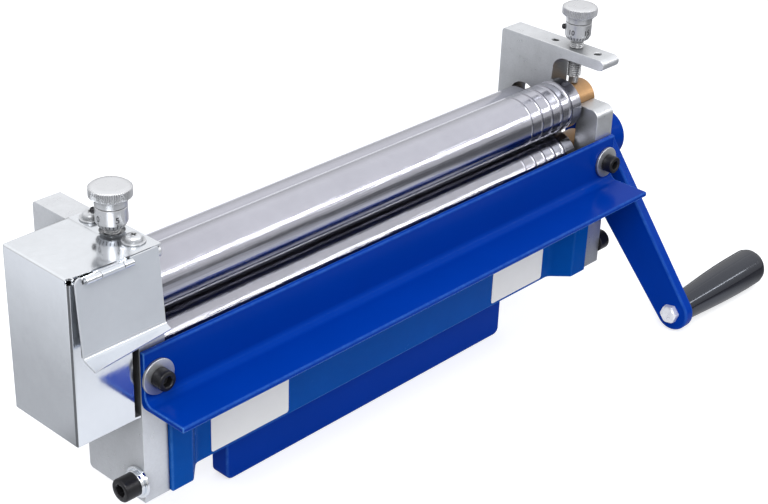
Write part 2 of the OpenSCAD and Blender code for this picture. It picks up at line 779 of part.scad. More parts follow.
// Adjusting screw under the rear bush, on the right, and its knob below the lobe.
module rear_screw() { z_bar(rear_knob_z - 3, rear_tip_z, screw_r, mid_x, rear_y); }
module rear_knob() {
    translate([mid_x, rear_y, 0]) difference() {
        rotate_extrude() polygon([[0, rear_knob_z - knob_h], [knob_d/2 - 1, rear_knob_z - knob_h],
            [knob_d/2, rear_knob_z - knob_h + 1], [knob_d/2, rear_knob_z - 0.8],
            [knob_d/2 - 0.8, rear_knob_z], [dial_d/2, rear_knob_z], [dial_d/2, rear_knob_z + collar_h], [0, rear_knob_z + collar_h]]);
        z_bar(rear_knob_z - 3, rear_knob_z + collar_h + 1, screw_r + run, 0, 0);
    }
}
module left_rear_screw() { color("gainsboro") on_side(-1) rear_screw(); }
module right_rear_screw() { color("gainsboro") on_side(1) rear_screw(); }
module left_rear_knob() { color("gainsboro") on_side(-1) rear_knob(); }
module right_rear_knob() { color("gainsboro") on_side(1) rear_knob(); }

seated() left_end_plate();
seated() right_end_plate();
seated() base_beam();
seated() vise_tongue();
seated() front_angle();
seated() angle_screws();
seated() angle_washers();
seated() side_screws();
seated() side_split_washer();
seated() side_flat_washer();
seated() gear_cover();
seated() hinge_leaf();
seated() hinge_pin();
seated() cover_screws();
seated() cover_washers();
seated() lower_bushes();
seated() blank_labels();
seated() guard_flap();
seated() lower_roller();
seated() drive_gear();
seated() drive_key();
seated() lower_ring();
seated() crank_arm();
seated() crank_set_screw();
seated() grip_spindle();
seated() crank_grip();
seated() top_bushes();
seated() top_roller();
seated() driven_gear();
seated() driven_key();
seated() top_ring();
seated() left_top_screw();
seated() left_top_knob();
seated() left_dial_ring();
seated() left_dial_screw();
seated() right_top_screw();
seated() right_top_knob();
seated() right_dial_ring();
seated() right_dial_screw();
seated() rear_bushes();
seated() rear_roller();
seated() left_rear_screw();
seated() left_rear_knob();
seated() right_rear_screw();
seated() right_rear_knob();
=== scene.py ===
"""Looks of the roll bending machine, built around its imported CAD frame. Blender 4.5.

Pieces are worked out in millimetres in the machine's drawing frame: X 0 midway between the end plates,
Y 0 on their front faces, Z 0 under their feet. to_frame() turns that into the frame's metres.
A shape is a pair (points, faces); piece() makes it an object that stands for a CAD node.
"""
import json
import math

import bmesh
import bpy
import numpy as np
from mathutils import Matrix, Vector


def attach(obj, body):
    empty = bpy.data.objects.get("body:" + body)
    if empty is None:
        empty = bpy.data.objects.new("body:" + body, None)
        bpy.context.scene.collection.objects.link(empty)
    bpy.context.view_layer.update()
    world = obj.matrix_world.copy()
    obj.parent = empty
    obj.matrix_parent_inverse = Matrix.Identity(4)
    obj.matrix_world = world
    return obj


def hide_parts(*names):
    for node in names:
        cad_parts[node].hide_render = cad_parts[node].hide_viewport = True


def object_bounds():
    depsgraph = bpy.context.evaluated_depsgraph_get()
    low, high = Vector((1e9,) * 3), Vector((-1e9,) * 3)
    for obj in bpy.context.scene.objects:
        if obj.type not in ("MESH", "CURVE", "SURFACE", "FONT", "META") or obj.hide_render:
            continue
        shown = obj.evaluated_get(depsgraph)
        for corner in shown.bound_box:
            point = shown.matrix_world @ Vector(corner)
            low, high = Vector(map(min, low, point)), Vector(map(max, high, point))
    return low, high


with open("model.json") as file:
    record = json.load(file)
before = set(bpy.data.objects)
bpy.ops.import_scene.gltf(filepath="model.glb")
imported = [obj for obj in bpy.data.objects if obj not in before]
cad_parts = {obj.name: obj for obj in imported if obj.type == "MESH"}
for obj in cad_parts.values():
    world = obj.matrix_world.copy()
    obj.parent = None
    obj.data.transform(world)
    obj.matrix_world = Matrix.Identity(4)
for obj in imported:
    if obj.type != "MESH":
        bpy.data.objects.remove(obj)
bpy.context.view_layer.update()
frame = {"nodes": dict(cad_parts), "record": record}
record = frame["record"]
nodes = frame["nodes"]

MM = 0.001
TURN_STEPS, SCREW_STEPS = 96, 32

# Camera: a pinhole fitted to the photograph, in pixels, degrees and metres.
IMAGE_W, IMAGE_H = 768, 504
FOCAL_PX = 1669.2
CENTRE_PX = (374.9, 281.3)
AZIMUTH, ELEVATION, ROLL = -47.32, 29.27, -2.11
CAMERA_AT = (-0.5683, -0.51695, 0.4776)
SENSOR_W = 36

# Floor, in metres: its gap under the machine and half its width.
FLOOR_GAP, FLOOR_HALF = 0.0005, 6.0

# Driving sizes of the machine, in mm: end plates.
SEAT_Y = 13.25
HALF_W = 160
PLATE_T = 15
PLATE_H = 132
PLATE_D = 74
FOOT_D = 42
POST_H = 101.5
ARM_T = 6.5
THROAT_R = 8
LOBE_Z = 58
PLATE_R = 5
REAR_R = 2.5
TAPPED_R = 2.1

# Rollers, bushes and gears: places and radii.
AXIS_Y = 25
LOWER_Z = 68
TOP_Z = 100.3
REAR_Y = 55
REAR_Z = 86
REAR_DOWN, REAR_UP = 8, 7
ROLLER_R = 14.7
ROLL_END = 158
JOURNAL_R = 7
BUSH_R = 10
SLOT_R = 10.05
BUSH_IN = 158.3
BUSH_END = 176.6
REAR_BUSH_END = 174.8
SHAFT_LEFT = 196.5
RUN_FIT = 0.05
WIRE_GROOVES, WIRE_R, WIRE_R_STEP = 5, 0.9, 0.25
WIRE_INSET, WIRE_PITCH, WIRE_SPREAD = 10, 8.6, 0.0875
GEAR_X, GEAR_W, GEAR_TIP_R, GEAR_ROOT_R, GEAR_TEETH = 176.9, 15.6, 18, 11.6, 9
TOOTH_TIP, TOOTH_MIDDLE, TOOTH_ROOT = 1.2, 2, 2.4

# Adjusting screws, dials and knobs.
TIP_Z = 110.35
SCREW_R = 4
POINT_R, POINT_L = 2.8, 4
THREAD_PITCH, THREAD_DEPTH = 1.25, 0.8
DIAL_R = 7.5
DIAL_Z = 135.5
DIAL_UP = 1.8
DIAL_STEP, DIAL_BEVEL_H = 1.4, 2.4
DIAL_TICKS, LONG_EVERY = 25, 5
TICK_HALF_W, TICK_SUNK, TICK_PROUD = 0.22, 0.15, 0.02
TICK_LOW, TICK_SHORT, TICK_LONG = 0.5, 2.1, 3.4
DIGIT_SIZE, DIGIT_BOLD, DIGIT_Z = 4.1, 0.06, 3.8
COLLAR_Z = 145.4
RIM_Z = 149
KNOB_R = 10
KNOB_H = 6
KNOB_TEETH, KNURL_DEPTH = 60, 0.5
REAR_KNOB_Z = 46.4
COLLAR_H = 3.6

# Beam, tongue, angle and labels; a label is x0, x1, z0, z1.
EAR_X, JOGGLE_X, EAR_Y, WEB_Y, WEB_BACK, WEB_H = 147, 137, -2, 8, 18, 46
KEEL_FRONT, KEEL_BACK, KEEL_H = 9, 40, 8
SEAT_STEP = 0.5
TONGUE_X, TONGUE_FRONT, TONGUE_BACK, TONGUE_LOW = 107.5, 18.5, 30.5, -31
LABELS, LABEL_T = ((-127, -75, 2, 27), (85, 130, 2, 22)), 0.3
ANGLE_TOP, SHELF_Z, SHELF_D, ANGLE_T = 83.6, 56.7, 29, 2.8

# Fasteners; a socket head is its diameter, height and key width.
GUARD_Y = 15
WASHER_T = 1.6
ANGLE_HEAD, ANGLE_SHANK_R, ANGLE_SHANK_L, ANGLE_WASHER_R = (10, 6, 5), 3, 12, 9
ANGLE_SCREW_Z = 69.3
SIDE_Y, SIDE_Z = 4, 11
SIDE_HEAD, SIDE_SHANK_R, SIDE_SHANK_X, SIDE_WASHER_R = (12, 8, 6), 4, 149, 8
SPLIT_WASHER_R, WASHER_STACK = 6.8, 3.7
PAN_R, PAN_H, PAN_SHANK_R, PAN_WASHER_R, PAN_WASHER_T = 4, 2.6, 2.05, 5.5, 0.8

# Crank and grip.
CRANK_X, CRANK_T, CRANK_LEN, CRANK_ANGLE = 185.3, 7.3, 115, 49.6
HUB_R, EYE_R, HUB_END = 16, 11, 204.2
GRIP_L, GRIP_R = 82, 11.5
SPINDLE_R, SPINDLE_FLATS, SPINDLE_HEAD_H = 4, 5, 4
GRUB_HEAD, GRUB_X, GRUB_Y = (5, 5, 2.5), 5.8, 9.5

# Gear cover, hinge and flap.
COVER_W, COVER_Y, COVER_D, COVER_Z, PANEL_TOP = 35.7, 0.6, 46.6, 48.4, 92
FLANGE_W, PANEL_GAP = 3.7, 3.4
SHEET_T = 1
BEND_R, RIM_R = 1.3, 0.18
SCREW_HOLE_R, CORNER_HOLE_R = 6, 2.1
HINGE_Y, HINGE_Z, HINGE_R, HINGE_BORE, HINGE_GAP = -3, 132.15, 1.7, 0.75, 0.15
HINGE_X = (-204.4, -196.1, -183.9, -178.6)
FLAP_X0, FLAP_X1, FLAP_LOW, FLAP_TOP, FLAP_TILT = -208.5, -163, 97.5, 133.6, 5
FLAP_BACK = -0.6
LIP_LEFT, LIP_RIGHT, LIP_BEND, LIP_R = 7.5, 3.5, 68, 2.5

OUTER_X = HALF_W + PLATE_T
MID_X = HALF_W + PLATE_T / 2
CEIL_Z = PLATE_H - ARM_T
COVER_X0 = -OUTER_X - COVER_W
COVER_TOP = PLATE_H + SHEET_T
FLAP_FRONT = FLAP_BACK - SHEET_T
HINGE_AXIS = (0, HINGE_Y, HINGE_Z)

# Which machine axis carries a shape's first, second and third local coordinate.
CARRY = {"x": (2, 0, 1), "y": (0, 2, 1), "z": (0, 1, 2)}


# Surfaces

def circle(steps):
    """Angles of a full circle."""
    return np.linspace(0, 2 * np.pi, steps, endpoint=False)


def grid_faces(rows, cols, wrap_rows=False):
    """Quads of a grid of closed rows, numbered row by row: (i, j) is joined to i + 1 and to j + 1."""
    i = np.arange(rows if wrap_rows else rows - 1)[:, None]
    j = np.arange(cols)[None, :]
    i1, j1 = (i + 1) % rows, (j + 1) % cols
    return np.stack([i * cols + j, i * cols + j1, i1 * cols + j1, i1 * cols + j], -1).reshape(-1, 4).tolist()


def carried(local, axis, at=(0, 0, 0)):
    """Points (first, second, along) placed so that along runs with the axis, then moved to at."""
    return local.reshape(-1, 3)[:, CARRY[axis]] + np.asarray(at, float)


def turned(radii, along, axis, at=(0, 0, 0), wrap=False):
    """Point (t, s) is at radius radii[t, s] and angle s about the axis, at height along[t, s] or along[t]."""
    radii, along = np.asarray(radii, float), np.asarray(along, float)
    if along.ndim == 1:
        along = np.repeat(along[:, None], radii.shape[1], 1)
    angle = circle(radii.shape[1])
    local = np.stack([radii * np.cos(angle), radii * np.sin(angle), along], -1)
    return carried(local, axis, at), grid_faces(*radii.shape, wrap_rows=wrap)


def profile_turned(profile, axis, at=(0, 0, 0), wrap=False, steps=TURN_STEPS):
    """A profile of (radius, height) pairs swung once about the axis."""
    p = np.asarray(profile, float)
    return turned(np.repeat(p[:, :1], steps, 1), p[:, 1], axis, at, wrap)


def rounded(corners, steps=6):
    """Outline through corners (u, v, radius): each corner is an arc that touches both of its sides.

    The arc's centre lies on the bisector at radius / sin(half angle), and it starts and ends at
    radius / tan(half angle) from the corner.
    """
    c = np.asarray(corners, float)
    p, r = c[:, :2], c[:, 2:]
    before, after = np.roll(p, 1, 0) - p, np.roll(p, -1, 0) - p
    before /= np.linalg.norm(before, axis=1, keepdims=True)
    after /= np.linalg.norm(after, axis=1, keepdims=True)
    half = np.arccos(np.clip((before * after).sum(1, keepdims=True), -1, 1)) / 2
    bisector = before + after
    bisector /= np.linalg.norm(bisector, axis=1, keepdims=True)
    centre = p + bisector * r / np.sin(half)
    start, end = p + before * r / np.tan(half), p + after * r / np.tan(half)
    a0 = np.arctan2(*(start - centre).T[::-1])
    a1 = np.arctan2(*(end - centre).T[::-1])
    sweep = (a1 - a0 + np.pi) % (2 * np.pi) - np.pi
    a = a0[:, None] + sweep[:, None] * np.linspace(0, 1, steps + 1)
    return (centre[:, None, :] + r[:, None, :] * np.stack([np.cos(a), np.sin(a)], -1)).reshape(-1, 2)


def inset(outline, by):
    """Outline moved inwards by a distance: each point goes along the mean normal of its two sides."""
    ahead = np.roll(outline, -1, 0) - outline
    area = (outline[:, 0] * np.roll(outline[:, 1], -1) - outline[:, 1] * np.roll(outline[:, 0], -1)).sum()
    normal = np.stack([-ahead[:, 1], ahead[:, 0]], -1) * np.sign(area)
    normal /= np.linalg.norm(normal, axis=1, keepdims=True) + 1e-12
    mean = normal + np.roll(normal, 1, 0)
    return outline + by * mean / (mean * normal).sum(1, keepdims=True).clip(0.4)


def without_doubles(outline):
    """Outline with points closer than a micrometre to the one before taken out."""
    step = np.linalg.norm(outline - np.roll(outline, 1, 0), axis=1)
    return outline[step > 0.001]


def prism(outline, lo, hi, axis, edge=0.4, edge_steps=3):
    """Outline carried from lo to hi along the axis, its rims rounded by quarter circles of radius edge."""
    outline = without_doubles(np.asarray(outline, float))
    q = np.linspace(0, np.pi / 2, edge_steps + 1)
    insets = np.concatenate([edge * (1 - np.sin(q)), edge * (1 - np.cos(q))])
    heights = np.concatenate([lo + edge * (1 - np.cos(q)), hi - edge + edge * np.sin(q)])
    rings = np.stack([np.column_stack([inset(outline, i), np.full(len(outline), h)])
                      for i, h in zip(insets, heights)])
    rows, m = rings.shape[:2]
    faces = grid_faces(rows, m)
    faces.append(list(range(m))[::-1])
    faces.append(list(range((rows - 1) * m, rows * m)))
    return carried(rings, axis), faces


def tapered(first, last, lo, hi, axis):
    """Solid whose section goes straight from one outline at lo to another at hi along the axis."""
    m = len(first)
    ends = np.concatenate([np.column_stack([first, np.full(m, lo)]), np.column_stack([last, np.full(m, hi)])])
    return carried(ends, axis), grid_faces(2, m) + [list(range(m))[::-1], list(range(m, 2 * m))]


def rectangle(u0, v0, u1, v1, radius, steps):
    """Outline of a rectangle with round corners."""
    return rounded([(u0, v0, radius), (u1, v0, radius), (u1, v1, radius), (u0, v1, radius)], steps)


def block(lo, hi, edge, corner):
    """Box between two corners, with rounded edges."""
    return prism(rectangle(*lo[:2], *hi[:2], corner, 3), lo[2], hi[2], "z", edge)


def joined(*shapes):
    """Several shapes as one."""
    points, faces, n = [], [], 0
    for p, f in shapes:
        points.append(p)
        faces += [[v + n for v in face] for face in f]
        n += len(p)
    return np.concatenate(points), faces


def mirrored(shape):
    """Shape on the other side of the machine."""
    return shape[0] * [-1, 1, 1], [face[::-1] for face in shape[1]]


def moved(shape, turn=0.0, about="x", by=(0, 0, 0)):
    """Shape turned by degrees about a machine axis through the origin, then moved."""
    r = np.array(Matrix.Rotation(math.radians(turn), 3, about.upper()))
    return shape[0] @ r.T + np.asarray(by, float), shape[1]


def quarter(r0, h0, r1, h1, steps=4):
    """Quarter round of a turned profile from (r0, h0) to (r1, h1), bulging away from the axis."""
    q = np.linspace(0, np.pi / 2, steps + 1)
    if r1 > r0:
        return list(zip(r0 + (r1 - r0) * np.sin(q), h0 + (h1 - h0) * (1 - np.cos(q))))
    return list(zip(r1 + (r0 - r1) * np.cos(q), h0 + (h1 - h0) * np.sin(q)))


def rod(r, lo, hi, axis, at=(0, 0, 0), edge=0.4, steps=TURN_STEPS):
    """Round bar from lo to hi along the axis, with rounded rims."""
    rims = quarter(r - edge, lo, r, lo + edge) + quarter(r, hi - edge, r - edge, hi)
    return profile_turned([(0, lo)] + rims + [(0, hi)], axis, at, steps=steps)


def tube(r_in, r_out, lo, hi, axis, at=(0, 0, 0), edge=0.25, steps=TURN_STEPS):
    """Ring with a square bore and rounded outer rims, its profile closed on itself."""
    c = edge * 0.6
    profile = [(r_in + c, lo)] + quarter(r_out - edge, lo, r_out, lo + edge)
    profile += quarter(r_out, hi - edge, r_out - edge, hi)
    profile += [(r_in + c, hi), (r_in, hi - c), (r_in, lo + c)]
    return profile_turned(profile, axis, at, wrap=True, steps=steps)


def hexagon(half_flats, steps):
    """Radius of a hexagon at each angle: half_flats / cos(angle from the middle of a side)."""
    return half_flats / np.cos(circle(steps) % (np.pi / 3) - np.pi / 6)


def cross(half_w, reach, steps):
    """Radius of a cross at each angle: half_w / sin, held to reach along the arms."""
    angle = circle(steps)
    near_u = half_w / np.maximum(np.abs(np.sin(angle)), 1e-9)
    near_v = half_w / np.maximum(np.abs(np.cos(angle)), 1e-9)
    return np.minimum(np.maximum(near_u, near_v), reach)


def rings(profile, steps):
    """Rows of a round profile, to be joined by rows that aren't round: its radii and its heights."""
    return [np.full(steps, r) for r, _ in profile], [h for _, h in profile]


def socket_head(d, h, key, axis, at, sign=1):
    """Socket head that stands on height 0, its hexagon sunk from the top; sign turns it over."""
    n, edge = TURN_STEPS, 0.08 * d
    outer = [(0, 0), (d / 2 - 0.2, 0), (d / 2, 0.2)]
    outer += quarter(d / 2, h - edge, d / 2 - edge, h) + [(key * 0.62, h), (key * 0.58, h - 0.25)]
    radii, heights = rings(outer, n)
    radii += [hexagon(key / 2, n), hexagon(key / 2, n), np.full(n, key * 0.4), np.zeros(n)]
    heights += [h - 0.35, h * 0.45, h * 0.45 - 0.3, h * 0.45 - key * 0.2]
    return turned(radii, np.array(heights) * sign, axis, at)


def pan_head(r, h, at):
    """Low domed head with a cross recess, upright."""
    n = TURN_STEPS
    q = np.linspace(0, 1, 7)
    crown = zip(r * np.cos(q * 1.15), h * 0.3 + h * 0.7 * np.sin(q * np.pi / 2))
    radii, heights = rings([(0, 0), (r, 0), (r, h * 0.3), *crown], n)
    recess = cross(0.45, radii[-1][0] * 0.98, n)
    radii += [recess, recess * 0.8, np.zeros(n)]
    heights += [h, h * 0.35, h * 0.3]
    return turned(radii, heights, "z", at)


def threaded(lo, hi, at):
    """Adjusting screw: at height z and turn a its radius falls by a triangle wave of z / pitch - a."""
    n, pitch = 48, THREAD_PITCH
    rows = int((hi - lo) / pitch * 10)
    z = np.linspace(lo, hi, rows)[:, None] + np.zeros(n)
    a = np.linspace(0, 1, n, endpoint=False)
    wave = np.abs((z / pitch - a) % 1 * 2 - 1)
    ends = np.clip(np.minimum(z - lo, hi - z) / 0.5, 0, 1)
    radii = SCREW_R - THREAD_DEPTH * np.where(ends < 1, 1 - ends * (1 - wave), wave)
    closed = np.concatenate([np.zeros((1, n)), radii, np.zeros((1, n))])
    z = np.concatenate([z[:1], z, z[-1:]])
    return turned(closed, z, "z", at)


# Materials

def group(name, inputs, outputs):
    """New shader node group with its input and output nodes; inputs is {name: (type, value)}."""
    tree = bpy.data.node_groups.new(name, "ShaderNodeTree")
    for label, (kind, value) in inputs.items():
        sock = tree.interface.new_socket(label, in_out="INPUT", socket_type=kind)
        sock.default_value = value
    for label, kind in outputs.items():
        tree.interface.new_socket(label, in_out="OUTPUT", socket_type=kind)
    return tree, tree.nodes.new("NodeGroupInput"), tree.nodes.new("NodeGroupOutput")


def feed(made, **inputs):
    """Sets a node's inputs: i and a number, or a name with _ for a space; to a value or a socket's output."""
    for key, value in inputs.items():
        numbered = key[0] == "i" and key[1:].isdigit()
        sock = made.inputs[int(key[1:]) if numbered else key.replace("_", " ")]
        if isinstance(value, bpy.types.NodeSocket):
            made.id_data.links.new(value, sock)
        else:
            sock.default_value = value
    return made


def node(tree, kind, settings=None, **inputs):
    """New node of a tree, with its settings and inputs."""
    made = tree.nodes.new(kind)
    for key, value in (settings or {}).items():
        setattr(made, key, value)
    return feed(made, **inputs)


def reckon(tree, operation, a, b, clamp=False):
    """Result of an operation on two numbers or sockets."""
    settings = {"operation": operation, "use_clamp": clamp}
    return node(tree, "ShaderNodeMath", settings, i0=a, i1=b).outputs[0]


def ranged(tree, value, **ends):
    """Value carried from one range to another; From and To run from 0 to 1 where they aren't given."""
    return node(tree, "ShaderNodeMapRange", Value=value, **ends).outputs[0]


def fade(tree, value, start, end):
    """0 before start and 1 past end, eased between."""
    return node(tree, "ShaderNodeMapRange", {"interpolation_type": "SMOOTHSTEP"}, Value=value,
                From_Min=start, From_Max=end).outputs[0]


def place(tree):
    """Where a spot lies, in the object's own axes."""
    return node(tree, "ShaderNodeTexCoord").outputs["Object"]


def noise(tree, where, scale, detail):
    """Noise value at a spot."""
    return node(tree, "ShaderNodeTexNoise", Vector=where, Scale=scale, Detail=detail).outputs[0]


FLOAT, VECTOR = "NodeSocketFloat", "NodeSocketVector"


def cloudy_group():
    """Cloudiness of a finish: two sizes of noise, as a value about 0 that a colour is scaled by."""
    inputs = {"Size": (FLOAT, 0.02), "Amount": (FLOAT, 0.05)}
    tree, gin, gout = group("cloudy_finish", inputs, {"Value": FLOAT})
    where = place(tree)
    scale = reckon(tree, "DIVIDE", 1.0, gin.outputs["Size"])
    a = noise(tree, where, scale, 4.0)
    b = noise(tree, where, reckon(tree, "MULTIPLY", scale, 6.0), 3.0)
    mix = node(tree, "ShaderNodeMath", {"operation": "MULTIPLY_ADD"}, i0=b, i1=0.5, i2=a).outputs[0]
    centred = reckon(tree, "SUBTRACT", mix, 0.75)
    feed(gout, Value=reckon(tree, "MULTIPLY", centred, gin.outputs["Amount"]))
    return tree


def worn_edge_group():
    """Edge mask, partly wear and partly painted highlight: how far a rounded normal leans from the true one,
    broken up by noise.
    """
    inputs = {"Radius": (FLOAT, 0.0006), "Gain": (FLOAT, 6.0)}
    tree, gin, gout = group("worn_and_highlit_edges", inputs, {"Mask": FLOAT})
    soft = node(tree, "ShaderNodeBevel", {"samples": 4}, Radius=gin.outputs["Radius"]).outputs[0]
    true = node(tree, "ShaderNodeNewGeometry").outputs["Normal"]
    same = node(tree, "ShaderNodeVectorMath", {"operation": "DOT_PRODUCT"}, i0=soft, i1=true).outputs["Value"]
    lean = reckon(tree, "SUBTRACT", 1.0, same)
    chips = noise(tree, place(tree), 260.0, 3.0)
    broken = reckon(tree, "MULTIPLY", lean, chips)
    feed(gout, Mask=reckon(tree, "MULTIPLY", broken, gin.outputs["Gain"], clamp=True))
    return tree


def grain_group():
    """Height of a tooled surface: noise stretched by Stretch along the object's axes."""
    inputs = {"Stretch": (VECTOR, (1, 1, 1)), "Scale": (FLOAT, 900.0)}
    tree, gin, gout = group("tool_grain", inputs, {"Height": FLOAT})
    pulled = node(tree, "ShaderNodeVectorMath", {"operation": "MULTIPLY"}, i0=place(tree),
                  i1=gin.outputs["Stretch"]).outputs[0]
    feed(gout, Height=noise(tree, pulled, gin.outputs["Scale"], 4.0))
    return tree


def hollow_group():
    """Painted shade: share of light that reaches a spot, from Floor in the deepest hollow to 1 in the open,
    that darkens a colour.
    """
    inputs = {"Reach": (FLOAT, 0.055), "Floor": (FLOAT, 0.4)}
    tree, gin, gout = group("painted_shade_hollows", inputs, {"Light": FLOAT})
    reach = gin.outputs["Reach"]
    open_sky = node(tree, "ShaderNodeAmbientOcclusion", {"samples": 6}, Distance=reach).outputs["AO"]
    steep = ranged(tree, open_sky, From_Min=0.3, From_Max=0.95)
    feed(gout, Light=ranged(tree, steep, To_Min=gin.outputs["Floor"]))
    return tree


CLOUDY, WORN_AND_HIGHLIT, GRAIN, PAINTED_SHADE = cloudy_group(), worn_edge_group(), grain_group(), hollow_group()


def use_group(tree, which, **inputs):
    """Places a node group in a material with its own values."""
    return node(tree, "ShaderNodeGroup", {"node_tree": which}, **inputs)


def finish(name, color, edge, metallic, rough, cloud=(0.02, 0.1), rough_cloud=0.2, stretch=(1, 1, 1),
           grain=(900, 0.02), wear_and_highlight=(0.0006, 5.0), gloss=0.5, painted_shade=1.0, sheen=(1, 1, 1)):
    """A finish: cloudy base colour, lighter edges, painted shade in hollows, uneven roughness and a fine
    tooled or sprayed grain.

    cloud is (size in metres, share of the colour), grain is (scale, bump strength), stretch pulls the
    grain along the axes, the edge wear value is (edge radius in metres, gain) of the lighter edges, which are
    partly wear and partly painted highlight, gloss and sheen are the strength and colour of an unplated
    surface's shine, and the painted shade value is the share of colour left in the deepest corners.
    """
    material = bpy.data.materials.new(name)
    material.use_nodes = True
    tree = material.node_tree
    cloudy = use_group(tree, CLOUDY, Size=cloud[0], Amount=cloud[1]).outputs["Value"]
    factor = reckon(tree, "ADD", cloudy, 1.0)
    # Painted shade: the colour is darkened where ambient occlusion finds hollows and gaps between parts.
    if painted_shade < 1:
        light = use_group(tree, PAINTED_SHADE, Floor=painted_shade).outputs["Light"]
        factor = reckon(tree, "MULTIPLY", factor, light)
    shaded = node(tree, "ShaderNodeVectorMath", {"operation": "SCALE"}, i0=color, Scale=factor).outputs[0]
    # Lighter edge colour: partly wear, partly a painted highlight along the edges.
    mask = use_group(tree, WORN_AND_HIGHLIT, Radius=wear_and_highlight[0], Gain=wear_and_highlight[1]).outputs["Mask"]
    base = node(tree, "ShaderNodeMix", {"data_type": "RGBA"}, Factor=mask, i6=shaded, i7=(*edge, 1))
    patches = use_group(tree, CLOUDY, Size=cloud[0] * 0.5, Amount=rough_cloud).outputs["Value"]
    height = use_group(tree, GRAIN, Stretch=stretch, Scale=grain[0]).outputs["Height"]
    bump = node(tree, "ShaderNodeBump", Strength=grain[1], Distance=0.0005, Height=height).outputs[0]
    feed(tree.nodes["Principled BSDF"], Metallic=metallic, Base_Color=base.outputs[2],
         Roughness=reckon(tree, "ADD", patches, rough, clamp=True), Normal=bump,
         Specular_IOR_Level=gloss, Specular_Tint=(*sheen, 1))
    return material


# Finishes: one for each material slot of the record, and some for single pieces.
# The blue paints' edges take a strong lighter blue: partly wear, partly a painted highlight.
BLUE = dict(edge=(0.10, 0.30, 0.72), metallic=0.0, rough_cloud=0.1, wear_and_highlight=(0.0010, 17.0), gloss=0.06,
            sheen=(0.1, 0.5, 1))
# The painted shade values darken a finish's colour in its hollows and between parts, as painted shade.
FINISH_VALUES = {
    "zinc_plate": dict(
        color=(0.795, 0.815, 0.845), edge=(0.88, 0.89, 0.90), metallic=0.8, rough=0.34,
        cloud=(0.010, 0.24), rough_cloud=0.3, grain=(600, 0.08), painted_shade=0.25),
    "zinc_sheet": dict(
        color=(0.86, 0.89, 0.93), edge=(0.94, 0.95, 0.96), metallic=0.985, rough=0.13,
        cloud=(0.02, 0.14), rough_cloud=0.16, grain=(240, 0.03)),
    "flap_sheet": dict(
        color=(0.655, 0.69, 0.745), edge=(0.90, 0.91, 0.92), metallic=0.55, rough=0.13,
        cloud=(0.02, 0.12), grain=(300, 0.03)),
    # The cover's inside: the sheet painted dark, as painted shade inside the cover.
    "cover_inside_painted_shade": dict(color=(0.10, 0.10, 0.11), edge=(0.2, 0.2, 0.2), metallic=0.3, rough=0.6),
    "blue_paint": dict(BLUE, color=(0.0001, 0.032, 0.30), rough=0.2, cloud=(0.03, 0.12), grain=(260, 0.035)),
    # The beam's paint: a lighter copy of the blue paint, painted light for how the web is lit.
    "lit_blue_paint": dict(BLUE, color=(0.001, 0.064, 0.33), rough=0.25, cloud=(0.02, 0.2), grain=(260, 0.05)),
    "ground_steel": dict(
        color=(0.55, 0.553, 0.62), edge=(0.74, 0.74, 0.78), metallic=1.0, rough=0.17,
        cloud=(0.03, 0.16), rough_cloud=0.14, stretch=(0.06, 2, 2), grain=(600, 0.16), painted_shade=0.62),
    "black_oxide": dict(
        color=(0.022, 0.022, 0.025), edge=(0.10, 0.10, 0.11), metallic=0.6, rough=0.34,
        cloud=(0.004, 0.25), grain=(1500, 0.05)),
    "bronze": dict(
        color=(0.68, 0.40, 0.19), edge=(0.75, 0.50, 0.28), metallic=0.7, rough=0.38,
        cloud=(0.004, 0.25), stretch=(4, 0.5, 0.5), grain=(800, 0.05), painted_shade=0.3),
    "knob_steel": dict(
        color=(0.748, 0.759, 0.781), edge=(0.86, 0.86, 0.87), metallic=0.8, rough=0.3,
        cloud=(0.006, 0.1), rough_cloud=0.15, stretch=(0.6, 0.6, 4), grain=(900, 0.03), painted_shade=0.4),
    "gear_steel": dict(
        color=(0.30, 0.30, 0.31), edge=(0.5, 0.5, 0.5), metallic=0.9, rough=0.4,
        cloud=(0.008, 0.2), grain=(900, 0.08)),
    "grip_plastic": dict(
        color=(0.006, 0.006, 0.010), edge=(0.05, 0.05, 0.055), metallic=0.0, rough=0.13,
        cloud=(0.01, 0.3), rough_cloud=0.12, gloss=0.8, sheen=(0.80, 0.87, 1.0)),
    "bright_zinc": dict(
        color=(0.93, 0.93, 0.94), edge=(0.95, 0.95, 0.95), metallic=0.5, rough=0.3,
        cloud=(0.004, 0.12), grain=(900, 0.05)),
    "label_white": dict(
        color=(0.80, 0.80, 0.79), edge=(0.86, 0.86, 0.86), metallic=0.0, rough=0.4,
        cloud=(0.01, 0.05), rough_cloud=0.1, grain=(2000, 0.02)),
}
FINISHES = {name: finish(name, **values) for name, values in FINISH_VALUES.items()}

# The body and the material slot of each CAD node.
BODY_OF = {n: body for body, held in record["behaviour"]["bodies"].items() for n in held}
SLOT_OF = {sub["node"]: sub["material_slot"] for sub in record["subparts"]}


# Pieces

def to_frame(points):
    """Machine millimetres to the frame's metres."""
    return (np.asarray(points, float) - [0, SEAT_Y, 0]) * MM


def add_object(name, data):
    """New object in the scene."""
    obj = bpy.data.objects.new(name, data)
    bpy.context.scene.collection.objects.link(obj)
    return obj


def shape_object(shape, name):
    """Closed shape as an object, its doubles merged and its faces turned outwards."""
    points, faces = shape
    mesh = bpy.data.meshes.new(name)
    mesh.from_pydata(to_frame(points).tolist(), [], faces)
    bm = bmesh.new()
    bm.from_mesh(mesh)
    bmesh.ops.remove_doubles(bm, verts=bm.verts, dist=2e-7)
    bmesh.ops.dissolve_degenerate(bm, edges=bm.edges, dist=1e-7)
    bmesh.ops.recalc_face_normals(bm, faces=bm.faces)
    bm.to_mesh(mesh)
    bm.free()
    return add_object(name, mesh)


def settle(obj):
    """Makes an object's modifiers part of its mesh."""
    done = bpy.data.meshes.new_from_object(obj.evaluated_get(bpy.context.evaluated_depsgraph_get()))
    obj.modifiers.clear()
    obj.data = done


